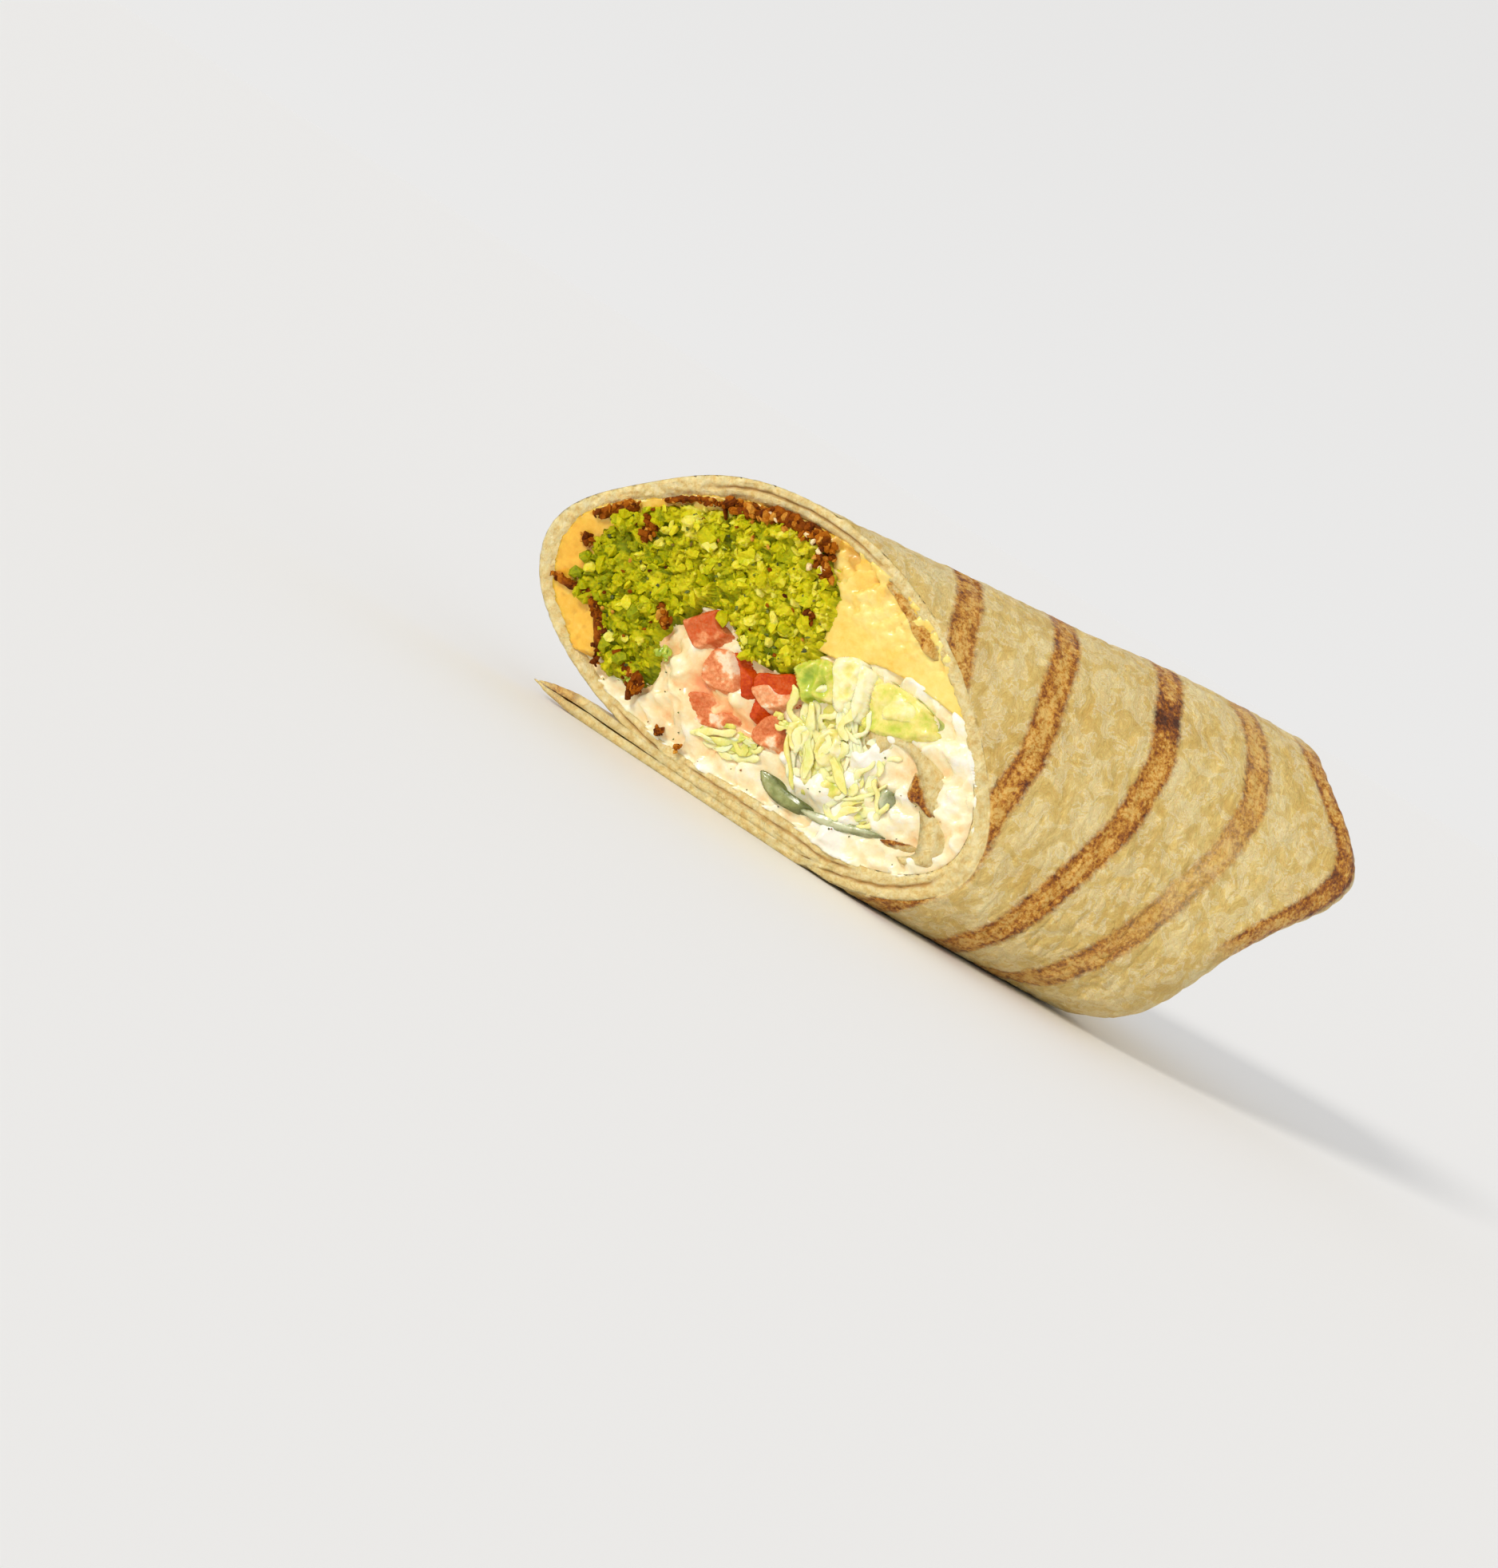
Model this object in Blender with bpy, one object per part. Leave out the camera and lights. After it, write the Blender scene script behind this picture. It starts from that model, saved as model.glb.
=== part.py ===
"""Half of a grilled falafel wrap, cut on the bias and lying on its seam.

A flour tortilla is rolled round falafel, melted cheese, cream sauce, shredded
lettuce, tomato dice and pickle.  +X runs along the roll from the cut to the
folded end, +Y is the side with the loose lap, +Z is up, and z = 0 is the surface
that the wrap rests on.
"""

import math

import bpy
import numpy as np

MM = 0.001
TAU = 2.0 * math.pi

# The roll
CUT_CENTRE = np.array([-37.66, -1.36, 28.1]) * MM   # middle of the cut face, in the object's frame
KNIFE_SLOPE_Y = 1.308            # the knife's plane: x falls this much per metre of y ...
KNIFE_SLOPE_Z = 0.4386           # ... and this much per metre of height
RADIUS_AT_CUT = 27.3 * MM
SWELL = 6.0 * MM                 # how much fatter the roll is towards the folded end
SWELL_FROM, SWELL_TO = -35.0 * MM, 110.0 * MM
THREE_CORNERS = 2.2 * MM         # the section is a circle slumped into a soft triangle ...
CORNER_TURN = math.radians(18.1)
TWO_CORNERS = 0.8 * MM           # ... and squeezed a little
SQUEEZE_TURN = math.radians(29.8)
SLUMP = 1.9 * MM                 # the layers under the roll carry its underside down
SLUMP_ANGLE, SLUMP_WIDTH = math.radians(268.0), math.radians(42.0)
SLUMP_LENGTH, SLUMP_LOSS = 90.0 * MM, 0.7   # and thin out towards the folded end
FLAT_SINK = 0.5 * MM             # depth pressed flat against the surface below

# The folded end
END_X = 97.0 * MM                # from the middle of the cut to the end face
END_LEAN = 5.5 * MM              # the upper edge reaches further than the lower one
EAR_LENGTH = 12.5 * MM           # the pinched corner of the fold
EAR_ANGLE = math.radians(146.0)
EAR_SPREAD_UP, EAR_SPREAD_DOWN = math.radians(22.0), math.radians(30.0)
FAR_EAR_LENGTH = 5.0 * MM
FAR_EAR_ANGLE, FAR_EAR_SPREAD = math.radians(330.0), math.radians(30.0)
RIM, RIM_LEAN = 9.0 * MM, 5.5 * MM   # how far the rim is rounded: most below, least above
RIM_SHRINK = 0.6                 # the rounded rim draws in by this share of its length
RIM_TURNS = np.radians([30.0, 60.0, 90.0])
END_CROWN = 3.0 * MM             # the filling pushes the tucked end out
FOLD_STEP = 1.8 * MM             # the tucked layers show as a spiral step on the end face
FOLD_TURNS = 1.1                 # how far the step winds from the middle to the rim
FOLD_FALL = 6.0                  # and how much steeper it falls than it climbs
END_SHARES = (0.84, 0.66, 0.45, 0.22)   # rings of the end face, as shares of the rim
END_BEND = 1.4                   # how soon the rim's corners die out towards the middle

# The tortilla
WALL = 1.8 * MM
TOP_EXTRA, TOP_ANGLE, TOP_WIDTH = 1.5 * MM, math.radians(92.0), math.radians(34.0)
SEAM_EXTRA, SEAM_ANGLE, SEAM_WIDTH = 3.6 * MM, math.radians(262.0), math.radians(40.0)
END_WALL = 6.0 * MM
LAYER_UNDER = 0.4 * MM           # the roll rests on its own lap, this far above the surface
LAP_LENGTH = 80.0 * MM           # the loose lap ends here, in a point under the roll

# The loose lap, folded double: (across from the axis, underside, top) in mm, from its root inside
# the roll, over the flat that the wrap rests on, to its lifted edge; at the cut and at its point
LAP_AT_CUT = np.array([
    (-12.5, 2.6, 3.6), (-8.0, 0.0, 3.3), (-7.0, 0.0, 3.3), (7.0, 0.0, 3.3), (21.0, 0.0, 4.2),
    (22.0, 0.0, 4.2), (25.5, 0.8, 3.3), (27.8, 1.7, 2.3),
])
LAP_AT_POINT = np.array([
    (-5.0, 1.4, 2.4), (-0.4, 0.0, 2.4), (-0.2, 0.0, 2.4), (0.0, 0.0, 2.4), (0.2, 0.0, 2.4),
    (0.4, 0.0, 2.4), (1.2, 0.3, 2.3), (2.2, 0.8, 2.0),
])
LAP_SHARES = (0.0, 0.04, 0.5, 0.96, 1.0)    # sections from the cut to the point
REST_HOLLOW = 0.03 * MM          # the underside touches at its three corners, flat between them
LAP_FEET = ((0, 1), (0, 5), (4, 3))         # section and point of each of those corners

# The sheet's inner end, which hooks over inside the roll: on the section, in mm
CURL_CENTRE = np.array([-19.0, 25.6])
CURL_RADIUS = 3.7
CURL_THICKNESS = 1.9
CURL_TURNS = np.radians(np.linspace(-15.0, 180.0, 10))
CURL_TAIL = np.array([(-23.2, 21.6), (-24.0, 17.4), (-23.4, 13.4)])
CURL_LENGTH, CURL_SECTIONS = 46.0 * MM, 5

GAP = 0.35 * MM                  # clearance between touching pieces
AROUND = 60                      # points round a section
SECTIONS = 13                    # sections along the roll
KNIFE_ROUNDS = 12                # rounds of substitution that bring a ring into the knife's plane
SHARP_EDGE = math.radians(50.0)

# Where the fillings begin, in front of the knife's plane, and where the lettuce ends
FILLING_START = -60.0 * MM
CHEESE_START = -80.0 * MM
LETTUCE_END = 70.0 * MM
BEYOND = 2.0 * MM                # how much further a cutter reaches than the piece it cuts


def smooth_step(t):
    """0 below 0, 1 above 1, and an even S between."""
    t = np.clip(t, 0.0, 1.0)
    return t * t * (3.0 - 2.0 * t)


def hump(angle, centre, width):
    """A bell of height 1 round one angle, with the angle taken the short way round."""
    off = (angle - centre + math.pi) % TAU - math.pi
    return np.exp(-((off / width) ** 2))


def roll_radius(x):
    """Mean radius of the roll at x."""
    return RADIUS_AT_CUT + SWELL * smooth_step((x - SWELL_FROM) / (SWELL_TO - SWELL_FROM))


def outer_radius(angle, x):
    """Distance of the outer skin from the roll's axis."""
    wave = THREE_CORNERS * np.cos(3.0 * (angle + CORNER_TURN))
    wave = wave + TWO_CORNERS * np.cos(2.0 * (angle + SQUEEZE_TURN))
    slump = SLUMP * (1.0 - SLUMP_LOSS * smooth_step(x / SLUMP_LENGTH))
    return roll_radius(x) + wave + slump * hump(angle, SLUMP_ANGLE, SLUMP_WIDTH)


def axis_height(x):
    """The axis rises with the radius, so that the underside stays on the surface."""
    return outer_radius(np.array(1.5 * math.pi), x) - FLAT_SINK


def wall(angle):
    """Thickness of the rolled sheet: single, double over the top, thickest at the seam."""
    top = TOP_EXTRA * hump(angle, TOP_ANGLE, TOP_WIDTH)
    return WALL + top + SEAM_EXTRA * hump(angle, SEAM_ANGLE, SEAM_WIDTH)


def end_x(angle):
    """Where the rim of the folded end lies, with its two pinched corners."""
    off = (angle - EAR_ANGLE + math.pi) % TAU - math.pi
    spread = np.where(off < 0.0, EAR_SPREAD_UP, EAR_SPREAD_DOWN)
    ear = EAR_LENGTH * np.exp(-((off / spread) ** 2))
    far_ear = FAR_EAR_LENGTH * hump(angle, FAR_EAR_ANGLE, FAR_EAR_SPREAD)
    return END_X + END_LEAN * np.sin(angle) + ear + far_ear


def place(x, y, z):
    """Points of the roll (x from the cut's middle, y from the axis, z from the surface)."""
    points = np.stack(np.broadcast_arrays(x, y, z), axis=-1)
    return points + np.array([CUT_CENTRE[0], CUT_CENTRE[1], 0.0])


def knife_x(y, z):
    """Where the knife's plane lies at this place on the section."""
    return -KNIFE_SLOPE_Y * y - KNIFE_SLOPE_Z * (z - CUT_CENTRE[2])


def ring(angle, x, inset):
    """One ring of the roll at distance inset inside the outer skin."""
    radius = outer_radius(angle, x) - inset
    y = radius * np.cos(angle)
    z = axis_height(x) + radius * np.sin(angle)
    return y, np.maximum(z, LAYER_UNDER + inset)


def cut_ring(angle, inset):
    """The ring that lies in the knife's plane, found by a few rounds of substitution."""
    x = np.zeros_like(angle)
    for _ in range(KNIFE_ROUNDS):
        y, z = ring(angle, x, inset)
        x = knife_x(y, z)
    return place(x, y, z)


def run_rings(angle, inset, last_x, rim):
    """Rings from the cut, along the roll and round the rim of its end."""
    start = cut_ring(angle, inset)
    start_x = start[:, 0] - CUT_CENTRE[0]
    body_x = last_x - rim
    rings = [start]
    for share in np.linspace(0.0, 1.0, SECTIONS)[1:]:
        x = start_x + (body_x - start_x) * share
        rings.append(place(x, *ring(angle, x, inset)))
    for turn in RIM_TURNS:
        x = body_x + rim * math.sin(turn)
        shrink = RIM_SHRINK * rim * (1.0 - math.cos(turn))
        rings.append(place(x, *ring(angle, x, inset + shrink)))
    return rings


def end_rings(angle, rim_ring, crown, fold_step):
    """Rings from the rim in to the middle of the end face, with the spiral step of the fold."""
    rim_x, rim_y = rim_ring[:, 0] - CUT_CENTRE[0], rim_ring[:, 1] - CUT_CENTRE[1]
    middle_x, middle_z = rim_x.mean() - fold_step, rim_ring[:, 2].mean()
    rings = []
    for share in END_SHARES:
        phase = (angle / TAU + FOLD_TURNS * share) % 1.0
        step = fold_step * np.minimum(phase, FOLD_FALL * (1.0 - phase)) * smooth_step(3.0 * share)
        x = middle_x + (rim_x - middle_x) * share ** END_BEND + crown * (1.0 - share ** 2) - step
        rings.append(place(x, rim_y * share, middle_z + (rim_ring[:, 2] - middle_z) * share))
    return rings


def outer_skin():
    """The outside of the wrap, from the cut to the middle of the folded end."""
    angle = np.arange(AROUND) * TAU / AROUND
    rings = run_rings(angle, 0.0, end_x(angle), RIM - RIM_LEAN * np.sin(angle))
    return rings + end_rings(angle, rings[-1], END_CROWN, FOLD_STEP)


def cavity_skin(clearance):
    """The inside of the rolled sheet, or the filling's envelope at a clearance inside it."""
    angle = np.arange(AROUND) * TAU / AROUND
    last_x = np.full(AROUND, END_X - END_LEAN - END_WALL - clearance)
    rings = run_rings(angle, wall(angle) + clearance, last_x, RIM)
    return rings + end_rings(angle, rings[-1], 0.0, 0.0)


def closed_surface(name, rings, material):
    """A closed body from rings of equal length, each end closed by a fan."""
    count = len(rings[0])
    points = np.concatenate(rings)
    index = np.arange(count)
    after = (index + 1) % count
    faces = []
    for row in range(len(rings) - 1):
        here, there = row * count, (row + 1) * count
        quads = np.stack([here + index, here + after, there + after, there + index], axis=1)
        faces += quads.tolist()
    for base, flip in ((0, True), ((len(rings) - 1) * count, False)):
        centre = len(points)
        points = np.vstack([points, points[base:base + count].mean(axis=0)])
        fan = np.stack([base + index, base + after, np.full(count, centre)], axis=1)
        faces += (fan[:, ::-1] if flip else fan).tolist()
    return make_object(name, points, faces, material)


def make_object(name, points, faces, material):
    """An object in the scene from points and faces."""
    mesh = bpy.data.meshes.new(name)
    mesh.from_pydata(points.tolist(), [], faces)
    mesh.update()
    mesh.shade_smooth()
    mesh.set_sharp_from_angle(angle=SHARP_EDGE)
    if material:
        mesh.materials.append(material)
    obj = bpy.data.objects.new(name, mesh)
    bpy.context.collection.objects.link(obj)
    return obj


def food_material(name, colour, roughness):
    """A plain, non-metallic surface of one colour."""
    material = bpy.data.materials.new(name)
    material.use_nodes = True
    shader = material.node_tree.nodes["Principled BSDF"]
    shader.inputs["Base Color"].default_value = (*colour, 1.0)
    shader.inputs["Roughness"].default_value = roughness
    shader.inputs["Metallic"].default_value = 0.0
    material.diffuse_color = (*colour, 1.0)
    return material


def boolean(obj, other, operation):
    """Joins obj with other, or cuts it by other, which stays out of the render as a helper."""
    modifier = obj.modifiers.new(f"{operation.lower()} {other.name}", "BOOLEAN")
    modifier.operation = operation
    modifier.solver = "EXACT"
    modifier.object = other
    other.hide_render = True
    other.display_type = "WIRE"


def smooth_loop(corners, per_corner=4):
    """A closed Catmull-Rom curve through the corners."""
    p = np.array(corners, float)
    before, after, later = np.roll(p, 1, 0), np.roll(p, -1, 0), np.roll(p, -2, 0)
    pieces = []
    for t in np.arange(per_corner) / per_corner:
        a = 2.0 * p
        b = (after - before) * t
        c = (2.0 * before - 5.0 * p + 4.0 * after - later) * t ** 2
        d = (3.0 * p - before - 3.0 * after + later) * t ** 3
        pieces.append(0.5 * (a + b + c + d))
    return np.stack(pieces, axis=1).reshape(-1, 2)


def grown(loop, distance):
    """The loop moved out along its own normals."""
    along = np.roll(loop, -1, 0) - np.roll(loop, 1, 0)
    normal = np.stack([along[:, 1], -along[:, 0]], axis=1)
    normal /= np.linalg.norm(normal, axis=1, keepdims=True)
    return loop + normal * distance


def follow_roll(y, z, x):
    """Moves a point of the section at the cut to the section at x, as the cavity widens."""
    up = z - axis_height(0.0)
    angle = np.arctan2(up, y)
    grow = (outer_radius(angle, x) - wall(angle)) / (outer_radius(angle, 0.0) - wall(angle))
    return y * grow, axis_height(x) + up * grow


def log(name, corners, material, first_x, last_x, room=0.0):
    """A filling that runs along the roll: its outline on the section, in mm, swells with it."""
    loop = grown(smooth_loop(corners), room / MM) * MM
    rings = []
    for x in (first_x, last_x):
        y, z = follow_roll(loop[:, 0], loop[:, 1], x)
        rings.append(place(x, y, z))
    return closed_surface(name, rings, material)


# Outlines on the section, in mm: across from the axis, and above the surface
FALAFEL = [
    (20.6, 36.0), (14.2, 42.4), (7.2, 47.8), (0.0, 50.8), (-5.2, 51.0), (-7.8, 46.5), (-7.2, 39.0),
    (-5.4, 32.5), (-2.5, 28.0), (2.2, 27.2), (5.0, 30.4), (8.2, 30.6), (10.8, 26.6), (13.9, 21.5),
    (13.6, 15.0), (16.0, 11.0), (19.4, 10.8), (20.8, 16.4), (22.6, 19.6), (25.2, 20.2), (23.8, 26.0),
    (22.0, 31.0),
]
CHEESE_SIDE = [
    (-34.0, 38.0), (-21.5, 38.6), (-17.5, 38.9), (-12.8, 38.0), (-9.0, 35.4), (0.0, 34.0),
    (10.0, 31.0), (15.0, 24.0), (18.4, 14.6), (24.0, 10.5), (36.0, 8.0), (44.0, 24.0), (36.0, 60.0),
    (0.0, 74.0), (-32.0, 64.0),
]
LETTUCE = [
    (-5.6, 24.0), (-6.6, 31.0), (-9.4, 34.2), (-12.8, 36.6), (-17.6, 37.2), (-21.6, 35.6),
    (-20.6, 32.4), (-16.6, 29.0), (-13.6, 26.4), (-12.2, 20.4), (-11.4, 16.6), (-7.6, 15.4),
    (-5.6, 17.6), (-6.2, 21.0),
]
TOMATO_DICE = {
    # name: middle on the section (mm), three sides (mm), turn (degrees)
    "tomato_1": ((7.9, 27.5), (7.0, 4.8, 5.4), 38.0),
    "tomato_2": ((4.6, 22.4), (7.0, 4.6, 6.4), 12.0),
    "tomato_3": ((0.8, 23.5), (6.0, 1.5, 6.6), -14.0),
    "tomato_4": ((-2.8, 24.5), (8.0, 4.0, 6.4), -30.0),
    "tomato_5": ((5.4, 14.9), (7.0, 5.2, 5.0), 24.0),
    "tomato_6": ((-2.3, 16.8), (6.0, 3.8, 5.4), 34.0),
}
DICE_EDGE = [
    # one end of a dice with its corners knocked round, in half sides
    (1.0, 0.55), (0.55, 1.0), (-0.55, 1.0), (-1.0, 0.55), (-1.0, -0.55), (-0.55, -1.0),
    (0.55, -1.0), (1.0, -0.55),
]
DICE_RINGS = ((-0.9, 0.80), (-0.74, 1.0), (0.42, 1.0), (0.58, 0.78))   # depth and breadth, in sides
DICE_SINK, DICE_LEAN = 0.30, 0.8     # how deep its middle lies, and how far it follows the knife
PICKLES = {
    # name: two ends on the section (mm), thickness (mm), bow (mm), depth along the roll (mm)
    "pickle_1": ((-2.6, 10.4), (-8.4, 9.0), 2.3, -0.7, 22.0),
    "pickle_2": ((-10.6, 9.4), (-16.6, 11.3), 1.3, 0.4, 26.0),
    "pickle_3": ((-17.3, 16.6), (-16.9, 18.9), 1.5, 0.0, 9.0),
}
PICKLE_POINTS, PICKLE_TAPER = 6, 0.8     # points along a slice, and how much its ends narrow
PICKLE_FRONT = -6.0 * MM                 # it reaches this far in front of the knife before trimming


def diced_cube(name, middle, sides, turn, material, room=0.0):
    """One dice of tomato: a block whose corners are knocked round, standing in the cut face."""
    y, z = middle[0] * MM, middle[1] * MM
    lean = math.radians(turn)
    size = np.array(sides) * MM + 2.0 * room
    edge = 0.5 * np.array(DICE_EDGE) * size[1:]
    middle_x = knife_x(y, z) + DICE_SINK * size[0]
    rings = []
    for depth, scale in DICE_RINGS:
        across, up = edge[:, 0] * scale, edge[:, 1] * scale
        off_y = across * math.cos(lean) - up * math.sin(lean)
        off_z = across * math.sin(lean) + up * math.cos(lean)
        follow = DICE_LEAN * (-KNIFE_SLOPE_Y * off_y - KNIFE_SLOPE_Z * off_z)
        rings.append(place(middle_x + depth * size[0] + follow, y + off_y, z + off_z))
    return closed_surface(name, rings, material)


def pickle_slice(name, start, end, thick, bow, depth, material, room=0.0):
    """A slice of pickle: a bowed strip across the section that runs a little way into the roll."""
    start, end = np.array(start), np.array(end)
    along = (end - start) / np.linalg.norm(end - start)
    across = np.array([-along[1], along[0]])
    share = np.linspace(0.0, 1.0, PICKLE_POINTS)
    from_middle = 2.0 * share - 1.0
    half = (0.5 * thick + room / MM) * np.sqrt(1.0 - PICKLE_TAPER * from_middle ** 2)
    bowed = bow * (1.0 - from_middle ** 2)
    spine = start + np.outer(share, end - start) + np.outer(bowed, across)
    spine = spine + np.outer(from_middle * room / MM, along)
    side = np.outer(half, across)
    loop = np.vstack([spine - side, (spine + side)[::-1]]) * MM
    y, z = loop[:, 0], loop[:, 1]
    rings = [place(knife_x(y, z) + step, y, z) for step in (PICKLE_FRONT, depth * MM + room)]
    return closed_surface(name, rings, material)


def lap(material):
    """The loose end of the sheet, which leaves the underside and runs out along the surface."""
    ends = []
    for profile, at_cut in ((LAP_AT_CUT, True), (LAP_AT_POINT, False)):
        across, low, high = profile.T * MM
        y, z = np.concatenate([across, across[::-1]]), np.concatenate([low + REST_HOLLOW, high[::-1]])
        ends.append(place(knife_x(y, z) if at_cut else LAP_LENGTH, y, z))
    rings = [ends[0] + (ends[1] - ends[0]) * share for share in LAP_SHARES]
    for section, point in LAP_FEET:
        rings[section][point, 2] -= REST_HOLLOW
    return closed_surface("lap", rings, material)


def curl(name, material, room=0.0):
    """The inner end of the sheet: down inside the wall, up and over in a tight hook."""
    arch = CURL_CENTRE + CURL_RADIUS * np.stack([np.cos(CURL_TURNS), np.sin(CURL_TURNS)], axis=1)
    spine = np.vstack([arch, CURL_TAIL])
    along = np.gradient(spine, axis=0)
    normal = np.stack([-along[:, 1], along[:, 0]], axis=1)
    normal /= np.linalg.norm(normal, axis=1, keepdims=True)
    side = normal * (0.5 * CURL_THICKNESS + room / MM)
    loop = np.vstack([spine - side, (spine + side)[::-1]]) * MM
    y, z = loop[:, 0], loop[:, 1]
    start_x = knife_x(y, z) - room
    rings = []
    for share in np.linspace(0.0, 1.0, CURL_SECTIONS):
        x = start_x + (CURL_LENGTH + room - start_x) * share
        rings.append(place(x, *follow_roll(y, z, x)))
    return closed_surface(name, rings, material)


def tortilla(material):
    """The rolled sheet: an outer skin and the cavity inside it, joined by the cut edge."""
    return closed_surface("tortilla", outer_skin()[::-1] + cavity_skin(0.0), material)


def build():
    """Clears the scene and builds the sheet, then the fillings from the largest to the sauce."""
    for obj in list(bpy.data.objects):
        bpy.data.objects.remove(obj, do_unlink=True)

    bread = food_material("grilled tortilla", (0.72, 0.57, 0.29), 0.62)
    green = food_material("falafel crumb", (0.36, 0.42, 0.04), 0.78)
    yellow = food_material("melted cheese", (0.86, 0.50, 0.12), 0.35)
    cream = food_material("cream sauce", (0.88, 0.74, 0.52), 0.30)
    leaf = food_material("shredded lettuce", (0.55, 0.66, 0.22), 0.45)
    red = food_material("diced tomato", (0.70, 0.13, 0.06), 0.25)
    dark = food_material("pickle", (0.14, 0.15, 0.04), 0.35)

    sheet = tortilla(bread)
    boolean(sheet, lap(bread), "UNION")
    boolean(sheet, curl("curl", bread), "UNION")

    # Each filling is trimmed by the envelope, and by the room that its neighbours need
    envelope_rings = cavity_skin(GAP)
    envelope = closed_surface("envelope", envelope_rings, None)
    curl_room = curl("curl_room", None, GAP)
    past_end = END_X + BEYOND
    falafel_room = log("falafel_room", FALAFEL, None, FILLING_START - BEYOND, past_end, GAP)
    cheese_room = log("cheese_room", CHEESE_SIDE, None, CHEESE_START, past_end, GAP)
    lettuce_room = log("lettuce_room", LETTUCE, None, FILLING_START - BEYOND, LETTUCE_END + GAP, GAP)

    falafel = log("falafel", FALAFEL, green, FILLING_START, END_X)
    boolean(falafel, envelope, "INTERSECT")
    cheese = log("melted_cheese", CHEESE_SIDE, yellow, CHEESE_START, past_end)
    boolean(cheese, envelope, "INTERSECT")
    boolean(cheese, falafel_room, "DIFFERENCE")
    lettuce = log("lettuce", LETTUCE, leaf, FILLING_START, LETTUCE_END)
    for room in (cheese_room, falafel_room, curl_room):
        boolean(lettuce, room, "DIFFERENCE")
    boolean(lettuce, envelope, "INTERSECT")

    pieces = []
    rooms = [cheese_room, falafel_room, lettuce_room, curl_room]
    for name, shape in TOMATO_DICE.items():
        pieces.append(diced_cube(name, *shape, red))
        rooms.append(diced_cube(f"{name}_room", *shape, None, GAP))
    for name, shape in PICKLES.items():
        pieces.append(pickle_slice(name, *shape, dark))
        rooms.append(pickle_slice(f"{name}_room", *shape, None, GAP))
    for piece in pieces:
        boolean(piece, envelope, "INTERSECT")

    # The sauce fills what the other fillings leave
    sauce = closed_surface("cream_sauce", envelope_rings, cream)
    for room in rooms:
        boolean(sauce, room, "DIFFERENCE")


build()
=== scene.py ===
"""Looks of half a grilled falafel wrap, cut on the bias and lying on its seam.

+X runs along the roll from the cut to the folded end, +Y is the side with the loose
lap, +Z is up.  Shapes are worked out in millimetres in the roll's own coordinates:
x from the middle of the cut, y from the roll's axis, z from the surface below.
"""

import itertools
import math

import bpy
import numpy as np
from mathutils import Matrix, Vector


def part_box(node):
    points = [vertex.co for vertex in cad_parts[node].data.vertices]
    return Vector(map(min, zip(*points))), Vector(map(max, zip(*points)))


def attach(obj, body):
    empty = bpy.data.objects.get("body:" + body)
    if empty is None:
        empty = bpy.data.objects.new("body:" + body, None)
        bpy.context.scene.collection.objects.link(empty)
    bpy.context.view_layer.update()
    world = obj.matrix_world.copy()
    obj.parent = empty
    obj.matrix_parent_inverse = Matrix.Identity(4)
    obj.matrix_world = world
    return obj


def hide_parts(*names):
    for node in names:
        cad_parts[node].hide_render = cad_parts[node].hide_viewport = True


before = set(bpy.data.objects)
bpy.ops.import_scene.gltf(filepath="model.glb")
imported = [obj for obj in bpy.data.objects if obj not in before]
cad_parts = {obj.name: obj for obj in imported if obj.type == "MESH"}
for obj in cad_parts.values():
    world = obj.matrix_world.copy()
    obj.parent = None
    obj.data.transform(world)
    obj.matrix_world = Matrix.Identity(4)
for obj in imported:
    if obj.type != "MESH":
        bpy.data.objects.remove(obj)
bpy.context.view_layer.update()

MM = 0.001
TAU = 2.0 * math.pi
LOW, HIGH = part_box("tortilla")
MIDDLE = np.array([LOW.x / MM + 37.32, 0.5 * (LOW.y + HIGH.y) / MM - 1.36, LOW.z / MM])

# The roll, in mm
KNIFE_Y, KNIFE_Z = 1.308, 0.4386         # fall of the knife's plane per mm across and per mm up
CUT_HEIGHT = 28.1
WALL = 1.8
END_X, END_LEAN = 97.0, 5.5
FILLING_END = 74.0


# Noise and numbers ------------------------------------------------------------------------

def smooth_step(t):
    """0 below 0, 1 above 1, 3t^2 - 2t^3 between."""
    t = np.clip(t, 0.0, 1.0)
    return t * t * (3.0 - 2.0 * t)


def hump(angle, centre, width):
    """A bell exp(-(off / width)^2) round one angle, taken the short way round, in degrees."""
    off = (np.degrees(angle) - centre + 180.0) % 360.0 - 180.0
    return np.exp(-((off / width) ** 2))


def chance(cells, seed):
    """A number from 0 to 1 for each whole-number cell, scrambled by multiply and shift."""
    cells = cells.astype(np.int64)
    mixed = cells[..., 0] * 73856093 ^ cells[..., 1] * 19349663 ^ cells[..., 2] * 83492791
    mixed = (mixed ^ (seed * 40503 + 977)) & 0xFFFFFFFF
    for shift in (15, 13, 16):
        mixed = ((mixed ^ (mixed >> shift)) * 0x45D9F3B) & 0xFFFFFFFF
    return (mixed & 0xFFFFFF) / float(0x1000000)


def soft_noise(points, size, seed=0):
    """Smooth noise from -1 to 1: the chances at the corners of a lattice of that size, blended."""
    scaled = points / size
    base = np.floor(scaled)
    part = smooth_step(scaled - base)
    total = 0.0
    for corner in itertools.product((0, 1), repeat=3):
        weight = np.where(np.array(corner, bool), part, 1.0 - part).prod(axis=-1)
        total = total + weight * chance(base + np.array(corner), seed)
    return 2.0 * total - 1.0


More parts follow.
